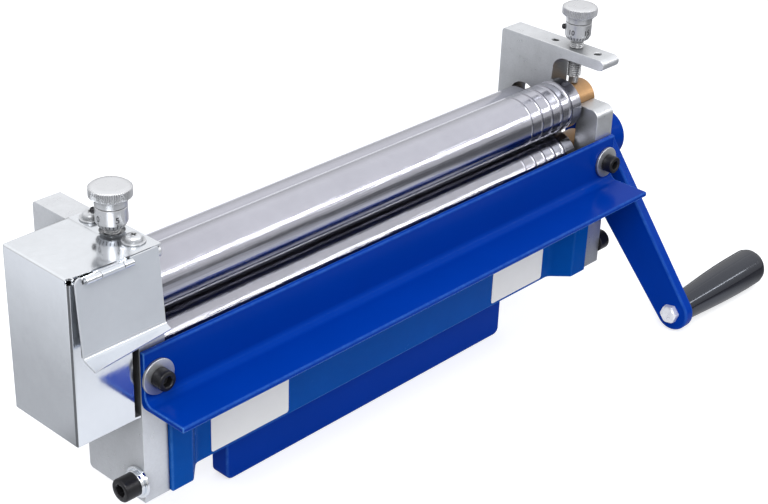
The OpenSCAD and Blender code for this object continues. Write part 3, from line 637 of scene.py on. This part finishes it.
def cut(obj, shapes):
    """Takes shapes out of an object."""
    cutters = [shape_object(s, "cutter") for s in shapes]
    for cutter in cutters:
        step = obj.modifiers.new("cut", "BOOLEAN")
        step.operation, step.solver, step.object = "DIFFERENCE", "EXACT", cutter
    settle(obj)
    for cutter in cutters:
        bpy.data.objects.remove(cutter)


def dress(obj, cad_node, angle=32, slot=None, look=None):
    """Gives a finished object its finish, shading, body and place in the table."""
    if not obj.data.materials:
        obj.data.materials.append(FINISHES[look or slot or SLOT_OF[cad_node]])
    obj.data.polygons.foreach_set("use_smooth", np.ones(len(obj.data.polygons), bool))
    obj.data.set_sharp_from_angle(angle=math.radians(angle))
    even = obj.modifiers.new("even_normals", "WEIGHTED_NORMAL")
    even.keep_sharp = True
    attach(obj, BODY_OF[cad_node])


def piece(name, cad_node, shape, cuts=(), angle=32, replaces=True, slot=None, look=None):
    """A shape as a piece that rides with a CAD node's body, and stands for that node."""
    obj = shape_object(shape, name)
    if cuts:
        cut(obj, cuts)
    dress(obj, cad_node, angle, slot, look)
    if replaces:
        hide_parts(cad_node)


def end_plate():
    """Right end plate: an outline in Y and Z with the bush slot and the throat."""
    front, back, foot, end = AXIS_Y - SLOT_R, AXIS_Y + SLOT_R, LOWER_Z - SLOT_R, SLOT_R - 0.01
    nose = ARM_T / 2 - 0.02
    outline = rounded([
        (0, 0, 0.6), (0, POST_H, PLATE_R), (front, POST_H, 0.6), (front, foot, end), (back, foot, end),
        (back, CEIL_Z, THROAT_R), (0, CEIL_Z, nose), (0, PLATE_H, nose), (PLATE_D, PLATE_H, REAR_R),
        (PLATE_D, LOBE_Z, REAR_R), (FOOT_D, LOBE_Z, PLATE_R), (FOOT_D, 0, REAR_R)], 10)
    return prism(outline, HALF_W, OUTER_X, "x", 0.45)


def rear_slot():
    """Cutter for the slot of the rear bush, with rounded ends."""
    lo, hi = REAR_Z - REAR_DOWN - SLOT_R, REAR_Z + REAR_UP + SLOT_R
    outline = rectangle(REAR_Y - SLOT_R, lo, REAR_Y + SLOT_R, hi, SLOT_R - 0.01, 12)
    return prism(outline, HALF_W - 2, OUTER_X + 2, "x", 0.1)


def tapped_hole(y, depth):
    """Cutter for a small tapped hole down through the arm, with a countersink."""
    r, foot, mouth = TAPPED_R, PLATE_H - depth, PLATE_H + 0.5
    profile = [(0, foot), (r, foot), (r, mouth - 1), (r + 1, mouth), (0, mouth)]
    return profile_turned(profile, "z", (MID_X, y, 0), steps=SCREW_STEPS)


def label(x0, x1, z0, z1):
    """Thin blank plate on the web's front."""
    return prism(rectangle(x0, z0, x1, z1, 1.5, 5), WEB_Y - LABEL_T, WEB_Y, "y", 0.08)


def make_frame():
    """End plates, beam, tongue, angle and labels."""
    holes = [tapped_hole(AXIS_Y - GUARD_Y, ARM_T + 1), tapped_hole(AXIS_Y + GUARD_Y, 9)]
    piece("end_plate_right", "right_end_plate", end_plate(), [rear_slot(), *holes])
    piece("end_plate_left", "left_end_plate", mirrored(end_plate()), [mirrored(rear_slot())])

    plan = rounded([
        (-HALF_W, EAR_Y, 1), (-EAR_X, EAR_Y, 2), (-JOGGLE_X, WEB_Y, 5), (JOGGLE_X, WEB_Y, 5),
        (EAR_X, EAR_Y, 2), (HALF_W, EAR_Y, 1), (HALF_W, WEB_BACK, 1), (-HALF_W, WEB_BACK, 1)])
    keel = block((-HALF_W, KEEL_FRONT, SEAT_STEP), (HALF_W, KEEL_BACK, KEEL_H), 0.9, 1.5)
    # The beam takes the lighter blue copy, as painted light.
    piece("beam", "base_beam", joined(prism(plan, 0, WEB_H, "z", 0.9), keel), look="lit_blue_paint")
    tongue = rounded([
        (-TONGUE_X, SEAT_STEP, 1.3), (TONGUE_X, SEAT_STEP, 1.3), (TONGUE_X, TONGUE_LOW, 4),
        (-TONGUE_X, TONGUE_LOW, 4)], 8)
    piece("tongue", "vise_tongue", prism(tongue, TONGUE_FRONT, TONGUE_BACK, "y", 1.2, 4))

    under = SHELF_Z - ANGLE_T
    section = rounded([
        (0, ANGLE_TOP, 0.6), (-ANGLE_T, ANGLE_TOP, 0.9), (-ANGLE_T, SHELF_Z, 4.5),
        (-SHELF_D, SHELF_Z, 0.9), (-SHELF_D, under, 0.6), (0, under, 3)], 8)
    piece("guide_angle", "front_angle", prism(section, -OUTER_X, OUTER_X, "x", 0.5))
    piece("labels", "blank_labels", joined(*[label(*edges) for edges in LABELS]))


def make_frame_screws():
    """Screws and washers of the angle and of the beam's ears; the left side screw has a washer stack."""
    heads, washers = [], []
    for x in (-MID_X, MID_X):
        at = (x, -ANGLE_T - WASHER_T, ANGLE_SCREW_Z)
        heads.append(socket_head(*ANGLE_HEAD, "y", at, -1))
        heads.append(rod(ANGLE_SHANK_R, 0, ANGLE_SHANK_L, "y", at, steps=SCREW_STEPS))
        washers.append(tube(ANGLE_SHANK_R + 0.2, ANGLE_WASHER_R, 0, WASHER_T, "y", at, 0.35))
    piece("angle_screw_pair", "angle_screws", joined(*heads))
    piece("angle_washer_pair", "angle_washers", joined(*washers))

    left, between, axis = -OUTER_X - WASHER_STACK, -OUTER_X - WASHER_T, (0, SIDE_Y, SIDE_Z)
    piece("side_screw_pair", "side_screws", joined(
        socket_head(*SIDE_HEAD, "x", (left, SIDE_Y, SIDE_Z), -1),
        rod(SIDE_SHANK_R, left, -SIDE_SHANK_X, "x", axis, steps=SCREW_STEPS),
        socket_head(*SIDE_HEAD, "x", (OUTER_X, SIDE_Y, SIDE_Z)),
        rod(SIDE_SHANK_R, SIDE_SHANK_X, OUTER_X + 1, "x", axis, steps=SCREW_STEPS)))
    flat = tube(SIDE_SHANK_R + 0.2, SIDE_WASHER_R, between, -OUTER_X, "x", axis, 0.3)
    piece("side_washer", "side_flat_washer", flat, look="zinc_sheet")
    split = tube(SIDE_SHANK_R + 0.2, SPLIT_WASHER_R, left, between, "x", axis, 0.3)
    slit = block((-OUTER_X - 5, SIDE_Y - 0.6, 0), (-OUTER_X - 1, SIDE_Y + 0.6, SIDE_Z - 3), 0.05, 0.06)
    piece("spring_washer", "side_split_washer", split, [slit], look="zinc_sheet")


def make_bushes():
    """Bronze bushes, a pair for each roller."""
    for which, y, z, end in (("lower", AXIS_Y, LOWER_Z, BUSH_END), ("top", AXIS_Y, TOP_Z, BUSH_END),
                             ("rear", REAR_Y, REAR_Z, REAR_BUSH_END)):
        one = tube(JOURNAL_R + RUN_FIT, BUSH_R, BUSH_IN, end, "x", (0, y, z), 0.5)
        piece("bush_pair_" + which, which + "_bushes", joined(one, mirrored(one)))


def make_cover():
    """Folded gear cover: an open sheet box whose bends are rounded, then thickened inwards.

    xf ends the folded front edge, xp and zp end the lower front panel, and xr ends the tongue over the
    end plate. The bends along the foot are rounded less, and the inside is painted darker than the outside,
    as painted shade.
    """
    x0, x1, xr, y0, y1 = COVER_X0, -OUTER_X, -HALF_W, COVER_Y, COVER_Y + COVER_D
    z0, z1, zp = COVER_Z, COVER_TOP, PANEL_TOP
    xf, xp = x0 + FLANGE_W, x1 - PANEL_GAP
    points = np.array([
        (x0, y0, z0), (xf, y0, z0), (xp, y0, z0), (x1, y0, z0), (x1, y1, z0), (x0, y1, z0),
        (x0, y0, zp), (xf, y0, zp), (xp, y0, zp), (x0, y0, z1), (xf, y0, z1), (x1, y0, z1), (x1, y1, z1),
        (x0, y1, z1), (xr, y0, z1), (xr, y1, z1)], float)
    faces = [[0, 1, 7, 6], [1, 2, 8, 7], [6, 7, 10, 9], [0, 5, 4, 3, 2, 1], [5, 13, 12, 4],
             [0, 6, 9, 13, 5], [9, 10, 11, 12, 13], [11, 14, 15, 12]]
    mesh = bpy.data.meshes.new("cover")
    mesh.from_pydata(to_frame(points).tolist(), [], faces)
    cover = add_object("cover", mesh)
    weight = mesh.attributes.new("bevel_weight_edge", "FLOAT", "EDGE")
    middle = np.array([(mesh.vertices[a].co + mesh.vertices[b].co) / 2 for a, b in mesh.edge_keys]) / MM
    weight.data.foreach_set("value", np.where(middle[:, 2] < z0 + 0.1, 0.35, 1.0))
    bends = cover.modifiers.new("bends", "BEVEL")
    bends.width, bends.segments, bends.limit_method = BEND_R * MM, 4, "WEIGHT"
    wall = cover.modifiers.new("wall", "SOLIDIFY")
    wall.thickness, wall.offset, wall.material_offset = SHEET_T * MM, -1, 1
    # Outside zinc, inside painted dark as painted shade.
    for look in ("zinc_sheet", "cover_inside_painted_shade"):
        mesh.materials.append(FINISHES[look])
    rims = cover.modifiers.new("rims", "BEVEL")
    rims.width, rims.segments = RIM_R * MM, 2
    rims.limit_method, rims.angle_limit = "ANGLE", math.radians(60)
    settle(cover)
    screw_hole = rod(SCREW_HOLE_R, PLATE_H - 1, z1 + 1, "z", (-MID_X, AXIS_Y, 0), 0.1)
    corner_hole = rod(CORNER_HOLE_R, PLATE_H - 1.5, z1 + 1, "z", (x0 + SHEET_T, COVER_Y, 0), 0.1, SCREW_STEPS)
    cut(cover, [screw_hole, corner_hole])
    dress(cover, "gear_cover")
    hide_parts("gear_cover")


def make_cover_screws():
    """The cover's two cross-head screws and their washers."""
    base = COVER_TOP + PAN_WASHER_T
    spots = [(-MID_X, AXIS_Y - GUARD_Y), (-MID_X, AXIS_Y + GUARD_Y)]
    heads = [pan_head(PAN_R, PAN_H, (x, y, base)) for x, y in spots]
    shanks = [rod(PAN_SHANK_R, PLATE_H - 6, base + 0.3, "z", (x, y, 0), steps=SCREW_STEPS) for x, y in spots]
    washers = [tube(PAN_SHANK_R + 0.25, PAN_WASHER_R, COVER_TOP, base, "z", (x, y, 0)) for x, y in spots]
    piece("cover_screw_pair", "cover_screws", joined(*heads, *shanks))
    piece("cover_washer_pair", "cover_washers", joined(*washers))


def knuckle(x0, x1):
    """Rolled part of the hinge between two of its ends."""
    return tube(HINGE_BORE, HINGE_R, x0 + HINGE_GAP, x1 - HINGE_GAP, "x", HINGE_AXIS, 0.2, 48)


def make_hinge():
    """Hinge leaf with its two knuckles and the tails that join them, and the pin."""
    low, deep = PLATE_H - SHEET_T, HINGE_Y + 12.4
    ends = (HINGE_X[:2], HINGE_X[2:])
    tails = [block((x0 + HINGE_GAP, HINGE_Y + 1.4, low), (x1 - HINGE_GAP, deep, PLATE_H), 0.1, 0.15)
             for x0, x1 in ends]
    leaf = block((HINGE_X[0] + HINGE_GAP, COVER_Y, low), (HINGE_X[3] - HINGE_GAP, deep, PLATE_H), 0.1, 0.15)
    both = joined(*[knuckle(*pair) for pair in ends], *tails, leaf)
    piece("hinge_knuckles", "hinge_leaf", both, look="zinc_sheet")
    pin = rod(HINGE_BORE - RUN_FIT, HINGE_X[0] - 0.3, HINGE_X[3], "x", HINGE_AXIS, 0.15, SCREW_STEPS)
    piece("hinge_rod", "hinge_pin", pin)


def lip_section(width):
    """Arc of the bend, then a straight run until the lip is width wide, and back on the other side."""
    bend = np.radians(np.linspace(0, -LIP_BEND, 10))
    arc = np.stack([np.cos(bend), np.sin(bend)], -1)
    reach = (width - LIP_R * (1 - arc[-1, 0])) / -arc[-1, 1]
    run = reach * np.array([arc[-1, 1], -arc[-1, 0]])
    centre = np.array([FLAP_FRONT - LIP_R, FLAP_LOW])
    inner, outer = centre + LIP_R * arc, centre + (LIP_R + SHEET_T) * arc
    return np.concatenate([inner, inner[-1:] + run, outer[-1:] + run, outer[::-1]])


def make_flap():
    """Hanging flap: a sheet with notches for the hinge's leaf, a rounded corner and an out-turned lip."""
    gap, notch = 0.35, PLATE_H - SHEET_T - 0.75
    corners = [(FLAP_X0, FLAP_LOW - 0.3, 0.2), (FLAP_X1, FLAP_LOW - 0.3, 0.2), (FLAP_X1, FLAP_TOP, 1)]
    for left, right in (HINGE_X[2:], HINGE_X[:2]):
        corners += [(right + gap, FLAP_TOP, 0.2), (right + gap, notch, 0.2)]
        corners += [(left - gap, notch, 0.2), (left - gap, FLAP_TOP, 0.2)]
    sheet = prism(rounded(corners + [(FLAP_X0, FLAP_TOP, 3)]), FLAP_FRONT, FLAP_BACK, "y", 0.15, 2)
    lip = tapered(lip_section(LIP_LEFT), lip_section(LIP_RIGHT), FLAP_X0, FLAP_X1, "x")
    hung = moved(joined(sheet, lip, knuckle(*HINGE_X[1:3])), by=(0, -HINGE_Y, -HINGE_Z))
    piece("flap", "guard_flap", moved(hung, -FLAP_TILT, "x", HINGE_AXIS), look="flap_sheet")


def roller_profile(x0, x1, grooved):
    """Turned profile of a roller along X: journals, body and round wire grooves near the right end."""
    edge = 0.5
    p = [(0, x0)] + quarter(JOURNAL_R - edge, x0, JOURNAL_R, x0 + edge) + [(JOURNAL_R, -ROLL_END)]
    p += quarter(ROLLER_R - edge, -ROLL_END, ROLLER_R, -ROLL_END + edge)
    half_turn = np.linspace(np.pi, 2 * np.pi, 9)
    for i in range(WIRE_GROOVES if grooved else 0):
        r = WIRE_R + WIRE_R_STEP * i
        x = ROLL_END - WIRE_INSET - (WIRE_PITCH - WIRE_SPREAD * i) * (WIRE_GROOVES - 1 - i)
        p += list(zip(ROLLER_R + r * np.sin(half_turn), x + r * np.cos(half_turn)))
    p += quarter(ROLLER_R, ROLL_END - edge, ROLLER_R - edge, ROLL_END)
    p += [(JOURNAL_R, ROLL_END)] + quarter(JOURNAL_R, x1 - edge, JOURNAL_R - edge, x1) + [(0, x1)]
    return p


def make_rollers():
    """The three rollers with their journals."""
    for which, x0, x1, y, z in (("lower", -SHAFT_LEFT, HUB_END, AXIS_Y, LOWER_Z),
                                ("top", -SHAFT_LEFT, BUSH_END + 1.2, AXIS_Y, TOP_Z),
                                ("rear", -REAR_BUSH_END, REAR_BUSH_END, REAR_Y, REAR_Z)):
        profile = roller_profile(x0, x1, which != "rear")
        piece("roller_" + which, which + "_roller", profile_turned(profile, "x", (0, y, z), steps=192))


def make_gears():
    """The gears on the left journals: half a tooth apart, so that they mesh."""
    middle = (GEAR_TIP_R + GEAR_ROOT_R) / 2
    side = np.array([(GEAR_ROOT_R, TOOTH_ROOT), (middle, TOOTH_MIDDLE), (GEAR_TIP_R, TOOTH_TIP)])
    radii, half_w = np.concatenate([side * [1, -1], side[::-1]]).T
    for name, cad_node, z, turn in (("gear_lower", "drive_gear", LOWER_Z, 0),
                                    ("gear_top", "driven_gear", TOP_Z, 180 + 180 / GEAR_TEETH)):
        a = np.radians(turn + 360 / GEAR_TEETH * np.arange(GEAR_TEETH))[:, None] + np.arcsin(half_w / radii)
        outline = np.stack([radii * np.sin(a), radii * np.cos(a)], -1).reshape(-1, 2)
        wheel = moved(prism(outline, -GEAR_X - GEAR_W, -GEAR_X, "x", 0.3), by=(0, AXIS_Y, z))
        bore = rod(JOURNAL_R + RUN_FIT, -GEAR_X - GEAR_W - 1, -GEAR_X + 1, "x", (0, AXIS_Y, z), 0.1)
        piece(name, cad_node, wheel, [bore])


def at_crank(shape, out=0.0):
    """Shape drawn about the hub's axis, moved out along the arm and turned to where the crank rests."""
    return moved(moved(shape, by=(0, -out, 0)), CRANK_ANGLE, "x", (0, AXIS_Y, LOWER_Z))


def make_crank():
    """Crank arm, an outline of two arcs and their common tangents, with its boss and set screw."""
    lean = math.degrees(math.acos((HUB_R - EYE_R) / CRANK_LEN))
    hub = np.radians(np.linspace(180 - lean, -180 + lean, 49))
    eye = np.radians(np.linspace(180 + lean, 180 - lean, 33))
    outline = np.concatenate([
        np.column_stack([HUB_R * np.cos(hub), HUB_R * np.sin(hub)]),
        np.column_stack([-CRANK_LEN + EYE_R * np.cos(eye), EYE_R * np.sin(eye)])])
    outer = CRANK_X + CRANK_T
    arm = prism(outline, CRANK_X, outer, "x", 1.3, 4)
    boss = tube(JOURNAL_R + RUN_FIT, HUB_R - 0.8, outer - 1, HUB_END, "x", edge=0.8)
    bore = rod(JOURNAL_R + 0.04, CRANK_X - 2, outer + 1, "x", edge=0.1)
    piece("crank", "crank_arm", at_crank(arm), [at_crank(bore)])
    piece("crank_boss", "crank_arm", at_crank(boss), replaces=False)
    grub = socket_head(*GRUB_HEAD, "y", (outer + GRUB_X, GRUB_Y, 0))
    piece("hub_grub_screw", "crank_set_screw", at_crank(grub))


def make_spindle():
    """Grip spindle: a plain shank and a hexagon head with a turned cone and a dimple."""
    top, flats = -SPINDLE_HEAD_H, hexagon(SPINDLE_FLATS, TURN_STEPS)
    profile = [(0, top + 0.5), (1.6, top + 0.4), (2.4, top), (4.4, top), (5.4, top + 0.6), (9, top + 1.4),
               (9, 0), (0, 0)]
    radii = [np.minimum(flats, r) for r, _ in profile]
    head = turned(radii, [h for _, h in profile], "x", (CRANK_X, 0, 0))
    shank = rod(SPINDLE_R, CRANK_X - 1, CRANK_X + CRANK_T + GRIP_L * 0.8, "x", steps=48)
    piece("grip_bolt", "grip_spindle", at_crank(joined(head, shank), CRANK_LEN), look="bright_zinc")


def make_grip():
    """Moulded grip: the radius swells as a sine and ends in a quarter ellipse; a fine seam on two sides."""
    n = 256
    t = np.linspace(0, 1, 40)[:, None]
    swell = GRIP_R * (0.74 + 0.26 * np.sin(np.clip(t / 0.8, 0, 1) * np.pi / 2) ** 1.2)
    start = np.sqrt(np.clip(t / 0.02, 0, 1)) * 0.08 + 0.92
    drop = 0.62
    reach = GRIP_R * drop / GRIP_L
    past = np.clip(t - 1 + reach, 0, 1) / reach
    end = 1 - drop * (1 - np.sqrt(np.clip(1 - past ** 2, 0, 1)))
    seam = 0.14 * np.exp(-((np.sin(circle(n) - 0.9) / 0.018) ** 2))
    radii = np.concatenate([np.zeros((1, n)), swell * start * end - seam, np.zeros((1, n))])
    along = CRANK_X + CRANK_T + 0.3 + GRIP_L * np.concatenate([[0], t[:, 0], [1]])
    piece("grip", "crank_grip", at_crank(turned(radii, along, "x"), CRANK_LEN))


def knob_shape(flip=False):
    """Collar and knurled rim about Z at the origin; flip turns it over for the rear screws.

    The rim's radius is KNOB_R - KNURL_DEPTH * (1 - cos(KNOB_TEETH * angle)) / 2.
    """
    n, low, top, root = KNOB_TEETH * 6, -COLLAR_H, KNOB_H + 0.02, KNOB_R - KNURL_DEPTH - 0.18
    knurl = KNOB_R - KNURL_DEPTH * (1 - np.cos(KNOB_TEETH * circle(n))) / 2
    collar = [(0, low), (6.2, low), (6.2, low + 0.35), (DIAL_R - 0.15, low + 0.35), (DIAL_R, low + 0.5),
              (DIAL_R, -0.2), (DIAL_R + 0.2, 0), (KNOB_R - 1.4, 0), (root, 0.9)]
    crown = [(root, KNOB_H - 0.5), (KNOB_R - 0.9, KNOB_H - 0.3), (KNOB_R - 1.3, KNOB_H), (KNOB_R - 3, top),
             (0, top)]
    (low_r, low_h), (top_r, top_h) = rings(collar, n), rings(crown, n)
    along = np.array(low_h + [1.2, KNOB_H - 0.8] + top_h)
    return turned(low_r + [knurl, knurl] + top_r, -along if flip else along, "z")


def dial_shape():
    """Graduated ring with a bevelled lower edge."""
    foot, bend, top = DIAL_R - DIAL_STEP, DIAL_Z + DIAL_BEVEL_H, COLLAR_Z - 0.05
    return profile_turned([
        (0, DIAL_Z), (foot - 0.2, DIAL_Z), (foot, DIAL_Z + 0.1), (DIAL_R - 0.1, bend - 0.1),
        (DIAL_R, bend + 0.1), (DIAL_R, top - 0.25), (DIAL_R - 0.3, top), (0, top)], "z")


def ticks(first, x):
    """Dial ticks: curved boxes that follow the ring and its bevel, a long one every fifth."""
    tick = np.arange(DIAL_TICKS)
    angle = np.radians(first + 360 / DIAL_TICKS * tick)
    low = np.full(DIAL_TICKS, DIAL_Z + TICK_LOW)
    high = DIAL_Z + np.where(tick % LONG_EVERY == 0, TICK_LONG, TICK_SHORT)
    corners = []
    for z in (low, np.minimum(high, DIAL_Z + DIAL_BEVEL_H), high):
        ring = np.minimum(DIAL_R - DIAL_STEP + DIAL_STEP / DIAL_BEVEL_H * (z - DIAL_Z), DIAL_R)
        for side, out in ((-1, -TICK_SUNK), (1, -TICK_SUNK), (1, TICK_PROUD), (-1, TICK_PROUD)):
            r = ring + out
            a = angle + side * TICK_HALF_W / r
            corners.append(np.stack([r * np.cos(a), r * np.sin(a), z], -1))
    box = [[base + k, base + (k + 1) % 4, base + 4 + (k + 1) % 4, base + 4 + k]
           for base in (0, 4) for k in range(4)]
    box += [[3, 2, 1, 0], [8, 9, 10, 11]]
    faces = [[v + len(corners) * t for v in face] for t in tick.tolist() for face in box]
    return np.stack(corners, 1).reshape(-1, 3) + [x, AXIS_Y, 0], faces


def digits(text, angle, x):
    """A dial number wrapped round the ring: its x becomes an angle, and its y a height."""
    curve = bpy.data.curves.new("number", "FONT")
    curve.body, curve.size, curve.align_x = text, DIGIT_SIZE, "CENTER"
    curve.resolution_u, curve.extrude, curve.offset = 3, DIGIT_BOLD, DIGIT_BOLD
    obj = add_object("number", curve)
    mesh = bpy.data.meshes.new_from_object(obj.evaluated_get(bpy.context.evaluated_depsgraph_get()))
    flat = np.empty(len(mesh.vertices) * 3)
    mesh.vertices.foreach_get("co", flat)
    u, v, out = flat.reshape(-1, 3).T
    r = DIAL_R - DIGIT_BOLD / 2 + out
    a = math.radians(angle) + u / DIAL_R
    points = np.stack([r * np.cos(a) + x, r * np.sin(a) + AXIS_Y, DIAL_Z + DIGIT_Z + v], -1)
    faces = [list(p.vertices) for p in mesh.polygons]
    bpy.data.objects.remove(obj)
    return points, faces


def make_top_adjuster(side, x, first_tick, zero, up):
    """Top screw with its knob, dial ring, dial marks and ring screw; up raises all but the screw's point."""
    axis = (x, AXIS_Y, 0)
    point = rod(POINT_R, TIP_Z, TIP_Z + POINT_L + 1, "z", axis, 0.6, 48)
    screw = threaded(TIP_Z + POINT_L, COLLAR_Z + 2 + up, axis)
    piece("adjusting_screw_" + side, side + "_top_screw", joined(point, screw), angle=60)
    knob = moved(knob_shape(), by=(x, AXIS_Y, RIM_Z + up))
    piece("adjusting_knob_" + side, side + "_top_knob", knob, angle=40)
    piece("dial_" + side, side + "_dial_ring", moved(dial_shape(), by=(x, AXIS_Y, up)))
    numbers = [digits(str(n), zero + 360 / DIAL_TICKS * n, x) for n in range(0, DIAL_TICKS, LONG_EVERY)]
    marks = moved(joined(ticks(first_tick, x), *numbers), by=(0, 0, up))
    piece("dial_marks_" + side, side + "_dial_ring", marks, replaces=False, slot="black_oxide")
    inner, outer = -SCREW_R - 0.1, -DIAL_R - 0.9
    button = profile_turned([
        (0, outer - 1), (0.9, outer - 0.9), (1.4, outer - 0.5), (1.6, outer), (1.6, inner),
        (0, inner)], "x", steps=SCREW_STEPS)
    button = moved(button, -47, "z", (x, AXIS_Y, COLLAR_Z - 3.2 + up))
    piece("dial_lock_" + side, side + "_dial_screw", button)


def make_rear_adjuster(side, x):
    """Rear screw, which stands under its bush, with its knob upside down."""
    screw = threaded(REAR_KNOB_Z - 2, REAR_Z - BUSH_R - RUN_FIT, (x, REAR_Y, 0))
    piece("rear_screw_" + side, side + "_rear_screw", screw, angle=60)
    knob = moved(knob_shape(True), by=(x, REAR_Y, REAR_KNOB_Z))
    piece("rear_knob_" + side, side + "_rear_knob", knob, angle=40)


# Stage

def add_camera():
    """Places the camera from its azimuth, elevation and roll."""
    az, el, roll = (math.radians(v) for v in (AZIMUTH, ELEVATION, ROLL))
    back = np.array([math.sin(az) * math.cos(el), -math.cos(az) * math.cos(el), math.sin(el)])
    right = np.cross(-back, [0, 0, 1])
    right /= np.linalg.norm(right)
    down = np.cross(-back, right)
    turned_right = math.cos(roll) * right + math.sin(roll) * down
    turned_down = -math.sin(roll) * right + math.cos(roll) * down
    data = bpy.data.cameras.new("camera")
    data.sensor_width = SENSOR_W
    data.lens = FOCAL_PX / IMAGE_W * SENSOR_W
    data.shift_x = (IMAGE_W / 2 - CENTRE_PX[0]) / IMAGE_W
    data.shift_y = (CENTRE_PX[1] - IMAGE_H / 2) / IMAGE_W
    camera = add_object("camera", data)
    axes = Matrix((turned_right, -turned_down, back)).transposed()
    camera.matrix_world = Matrix.Translation(CAMERA_AT) @ axes.to_4x4()
    bpy.context.scene.camera = camera


def add_world():
    """White to the camera, and a studio to the object: bright overhead, darker towards the floor.

    Plated and ground metal mirrors the studio with a share of the white background.
    """
    world = bpy.data.worlds.new("studio")
    world.use_nodes = True
    tree = world.node_tree
    tree.nodes.clear()
    toward = node(tree, "ShaderNodeTexCoord").outputs["Generated"]
    height = node(tree, "ShaderNodeSeparateXYZ", Vector=toward).outputs["Z"]
    ramp = node(tree, "ShaderNodeValToRGB", Fac=ranged(tree, height, From_Min=-1.0, From_Max=1.0))
    stops = ((0.0, 0.5), (0.48, 0.42), (0.56, 0.52), (0.68, 0.8), (0.80, 1.05), (1.0, 0.95))
    bands = ramp.color_ramp.elements
    bands[0].position, bands[1].position = stops[0][0], stops[-1][0]
    for position, _ in stops[1:-1]:
        bands.new(position)
    for band, (_, level) in zip(bands, stops):
        band.color = (level, level, level * 1.01, 1)
    studio = node(tree, "ShaderNodeBackground", Color=ramp.outputs[0], Strength=1.0).outputs[0]
    white = node(tree, "ShaderNodeBackground", Color=(1, 1, 1, 1), Strength=1.0).outputs[0]
    rays = node(tree, "ShaderNodeLightPath").outputs
    shine = reckon(tree, "MULTIPLY", rays["Is Glossy Ray"], 0.2)
    seen = reckon(tree, "MAXIMUM", rays["Is Camera Ray"], shine)
    mix = node(tree, "ShaderNodeMixShader", Fac=seen, i1=studio, i2=white).outputs[0]
    node(tree, "ShaderNodeOutputWorld", Surface=mix)
    bpy.context.scene.world = world


def add_lamp(name, at, target, size, power):
    """Soft rectangular lamp, aimed at a point."""
    data = bpy.data.lights.new(name, "AREA")
    data.shape, data.size, data.size_y, data.energy = "RECTANGLE", size[0], size[1], power
    lamp = add_object(name, data)
    lamp.location = at
    lamp.rotation_euler = (Vector(target) - Vector(at)).to_track_quat("-Z", "Y").to_euler()


def floor_level(tree):
    """Brightness of the floor as metal mirrors it: painted reflections and painted shadow, not the floor's
    own colour.

    It is paler along the front and far out at the left, darker near the machine as a painted shadow, dark by
    the cover's corner and past the right end, and nearly white behind the machine's right half.
    """
    where = node(tree, "ShaderNodeSeparateXYZ", Vector=place(tree)).outputs
    x, y = where["X"], where["Y"]
    front = reckon(tree, "MULTIPLY", fade(tree, y, -0.24, -0.13), fade(tree, y, 0.1, 0.0))
    pale = reckon(tree, "MAXIMUM", front, fade(tree, x, -0.30, -0.40))
    level = ranged(tree, pale, To_Min=0.36, To_Max=0.66)
    corner = reckon(tree, "MULTIPLY", fade(tree, x, -0.24, -0.28), fade(tree, y, 0.11, 0.06))
    left_share = ranged(tree, corner, To_Min=1.0, To_Max=0.15)
    right_share = ranged(tree, fade(tree, x, 0.24, 0.30), To_Min=1.0, To_Max=0.3)
    level = reckon(tree, "MULTIPLY", level, reckon(tree, "MULTIPLY", left_share, right_share))
    behind = reckon(tree, "MULTIPLY", fade(tree, x, 0.02, 0.09), fade(tree, y, 0.14, 0.22))
    return ranged(tree, behind, To_Min=level, To_Max=0.95)


def add_floor():
    """Pale floor under the lowest point, that the camera sees white with a soft shadow."""
    low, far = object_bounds()[0][2] - FLOOR_GAP, FLOOR_HALF
    corners = [(-far, -far, low), (far, -far, low), (far, far, low), (-far, far, low)]
    mesh = bpy.data.meshes.new("floor")
    mesh.from_pydata(corners, [], [(0, 1, 2, 3)])
    floor = add_object("floor", mesh)
    material = bpy.data.materials.new("pale_floor")
    material.use_nodes = True
    tree = material.node_tree
    tree.nodes.clear()
    seen = node(tree, "ShaderNodeLightPath").outputs["Is Camera Ray"]
    # The camera sees an even level; other rays see the painted reflection and shadow levels.
    level = ranged(tree, seen, To_Min=floor_level(tree), To_Max=0.58)
    settings = {"operation": "SCALE"}
    tint = node(tree, "ShaderNodeVectorMath", settings, i0=(0.98, 1.0, 1.04), Scale=level).outputs[0]
    matt = node(tree, "ShaderNodeBsdfDiffuse", Color=tint).outputs[0]
    glow = node(tree, "ShaderNodeEmission", Color=(1, 1, 1, 1), Strength=0.62).outputs[0]
    none = node(tree, "ShaderNodeEmission", Color=(1, 1, 1, 1), Strength=0.0).outputs[0]
    lit = node(tree, "ShaderNodeMixShader", Fac=seen, i1=none, i2=glow).outputs[0]
    both = node(tree, "ShaderNodeAddShader", i0=matt, i1=lit).outputs[0]
    node(tree, "ShaderNodeOutputMaterial", Surface=both)
    mesh.materials.append(material)


add_camera()
make_frame()
make_frame_screws()
make_bushes()
make_cover()
make_cover_screws()
make_hinge()
make_flap()
make_rollers()
make_gears()
make_crank()
make_spindle()
make_grip()
make_top_adjuster("left", -MID_X, first_tick=180.7, zero=180.7, up=0)
make_rear_adjuster("left", -MID_X)
make_top_adjuster("right", MID_X, first_tick=187, zero=43, up=DIAL_UP)
make_rear_adjuster("right", MID_X)
for cad_node in ("drive_key", "driven_key", "lower_ring", "top_ring"):
    solid = nodes[cad_node].data
    solid.materials.clear()
    solid.materials.append(FINISHES[SLOT_OF[cad_node]])
add_world()
add_lamp("key_lamp", at=(-0.9, -0.7, 1.2), target=(0, 0, 0.05), size=(0.9, 0.9), power=14)
add_lamp("strip_lamp", at=(0.75, -0.95, 0.69), target=(0.75, 0, 0.08), size=(1.6, 0.07), power=3.5)

bpy.context.scene.view_settings.view_transform = "Standard"
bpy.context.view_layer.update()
add_floor()
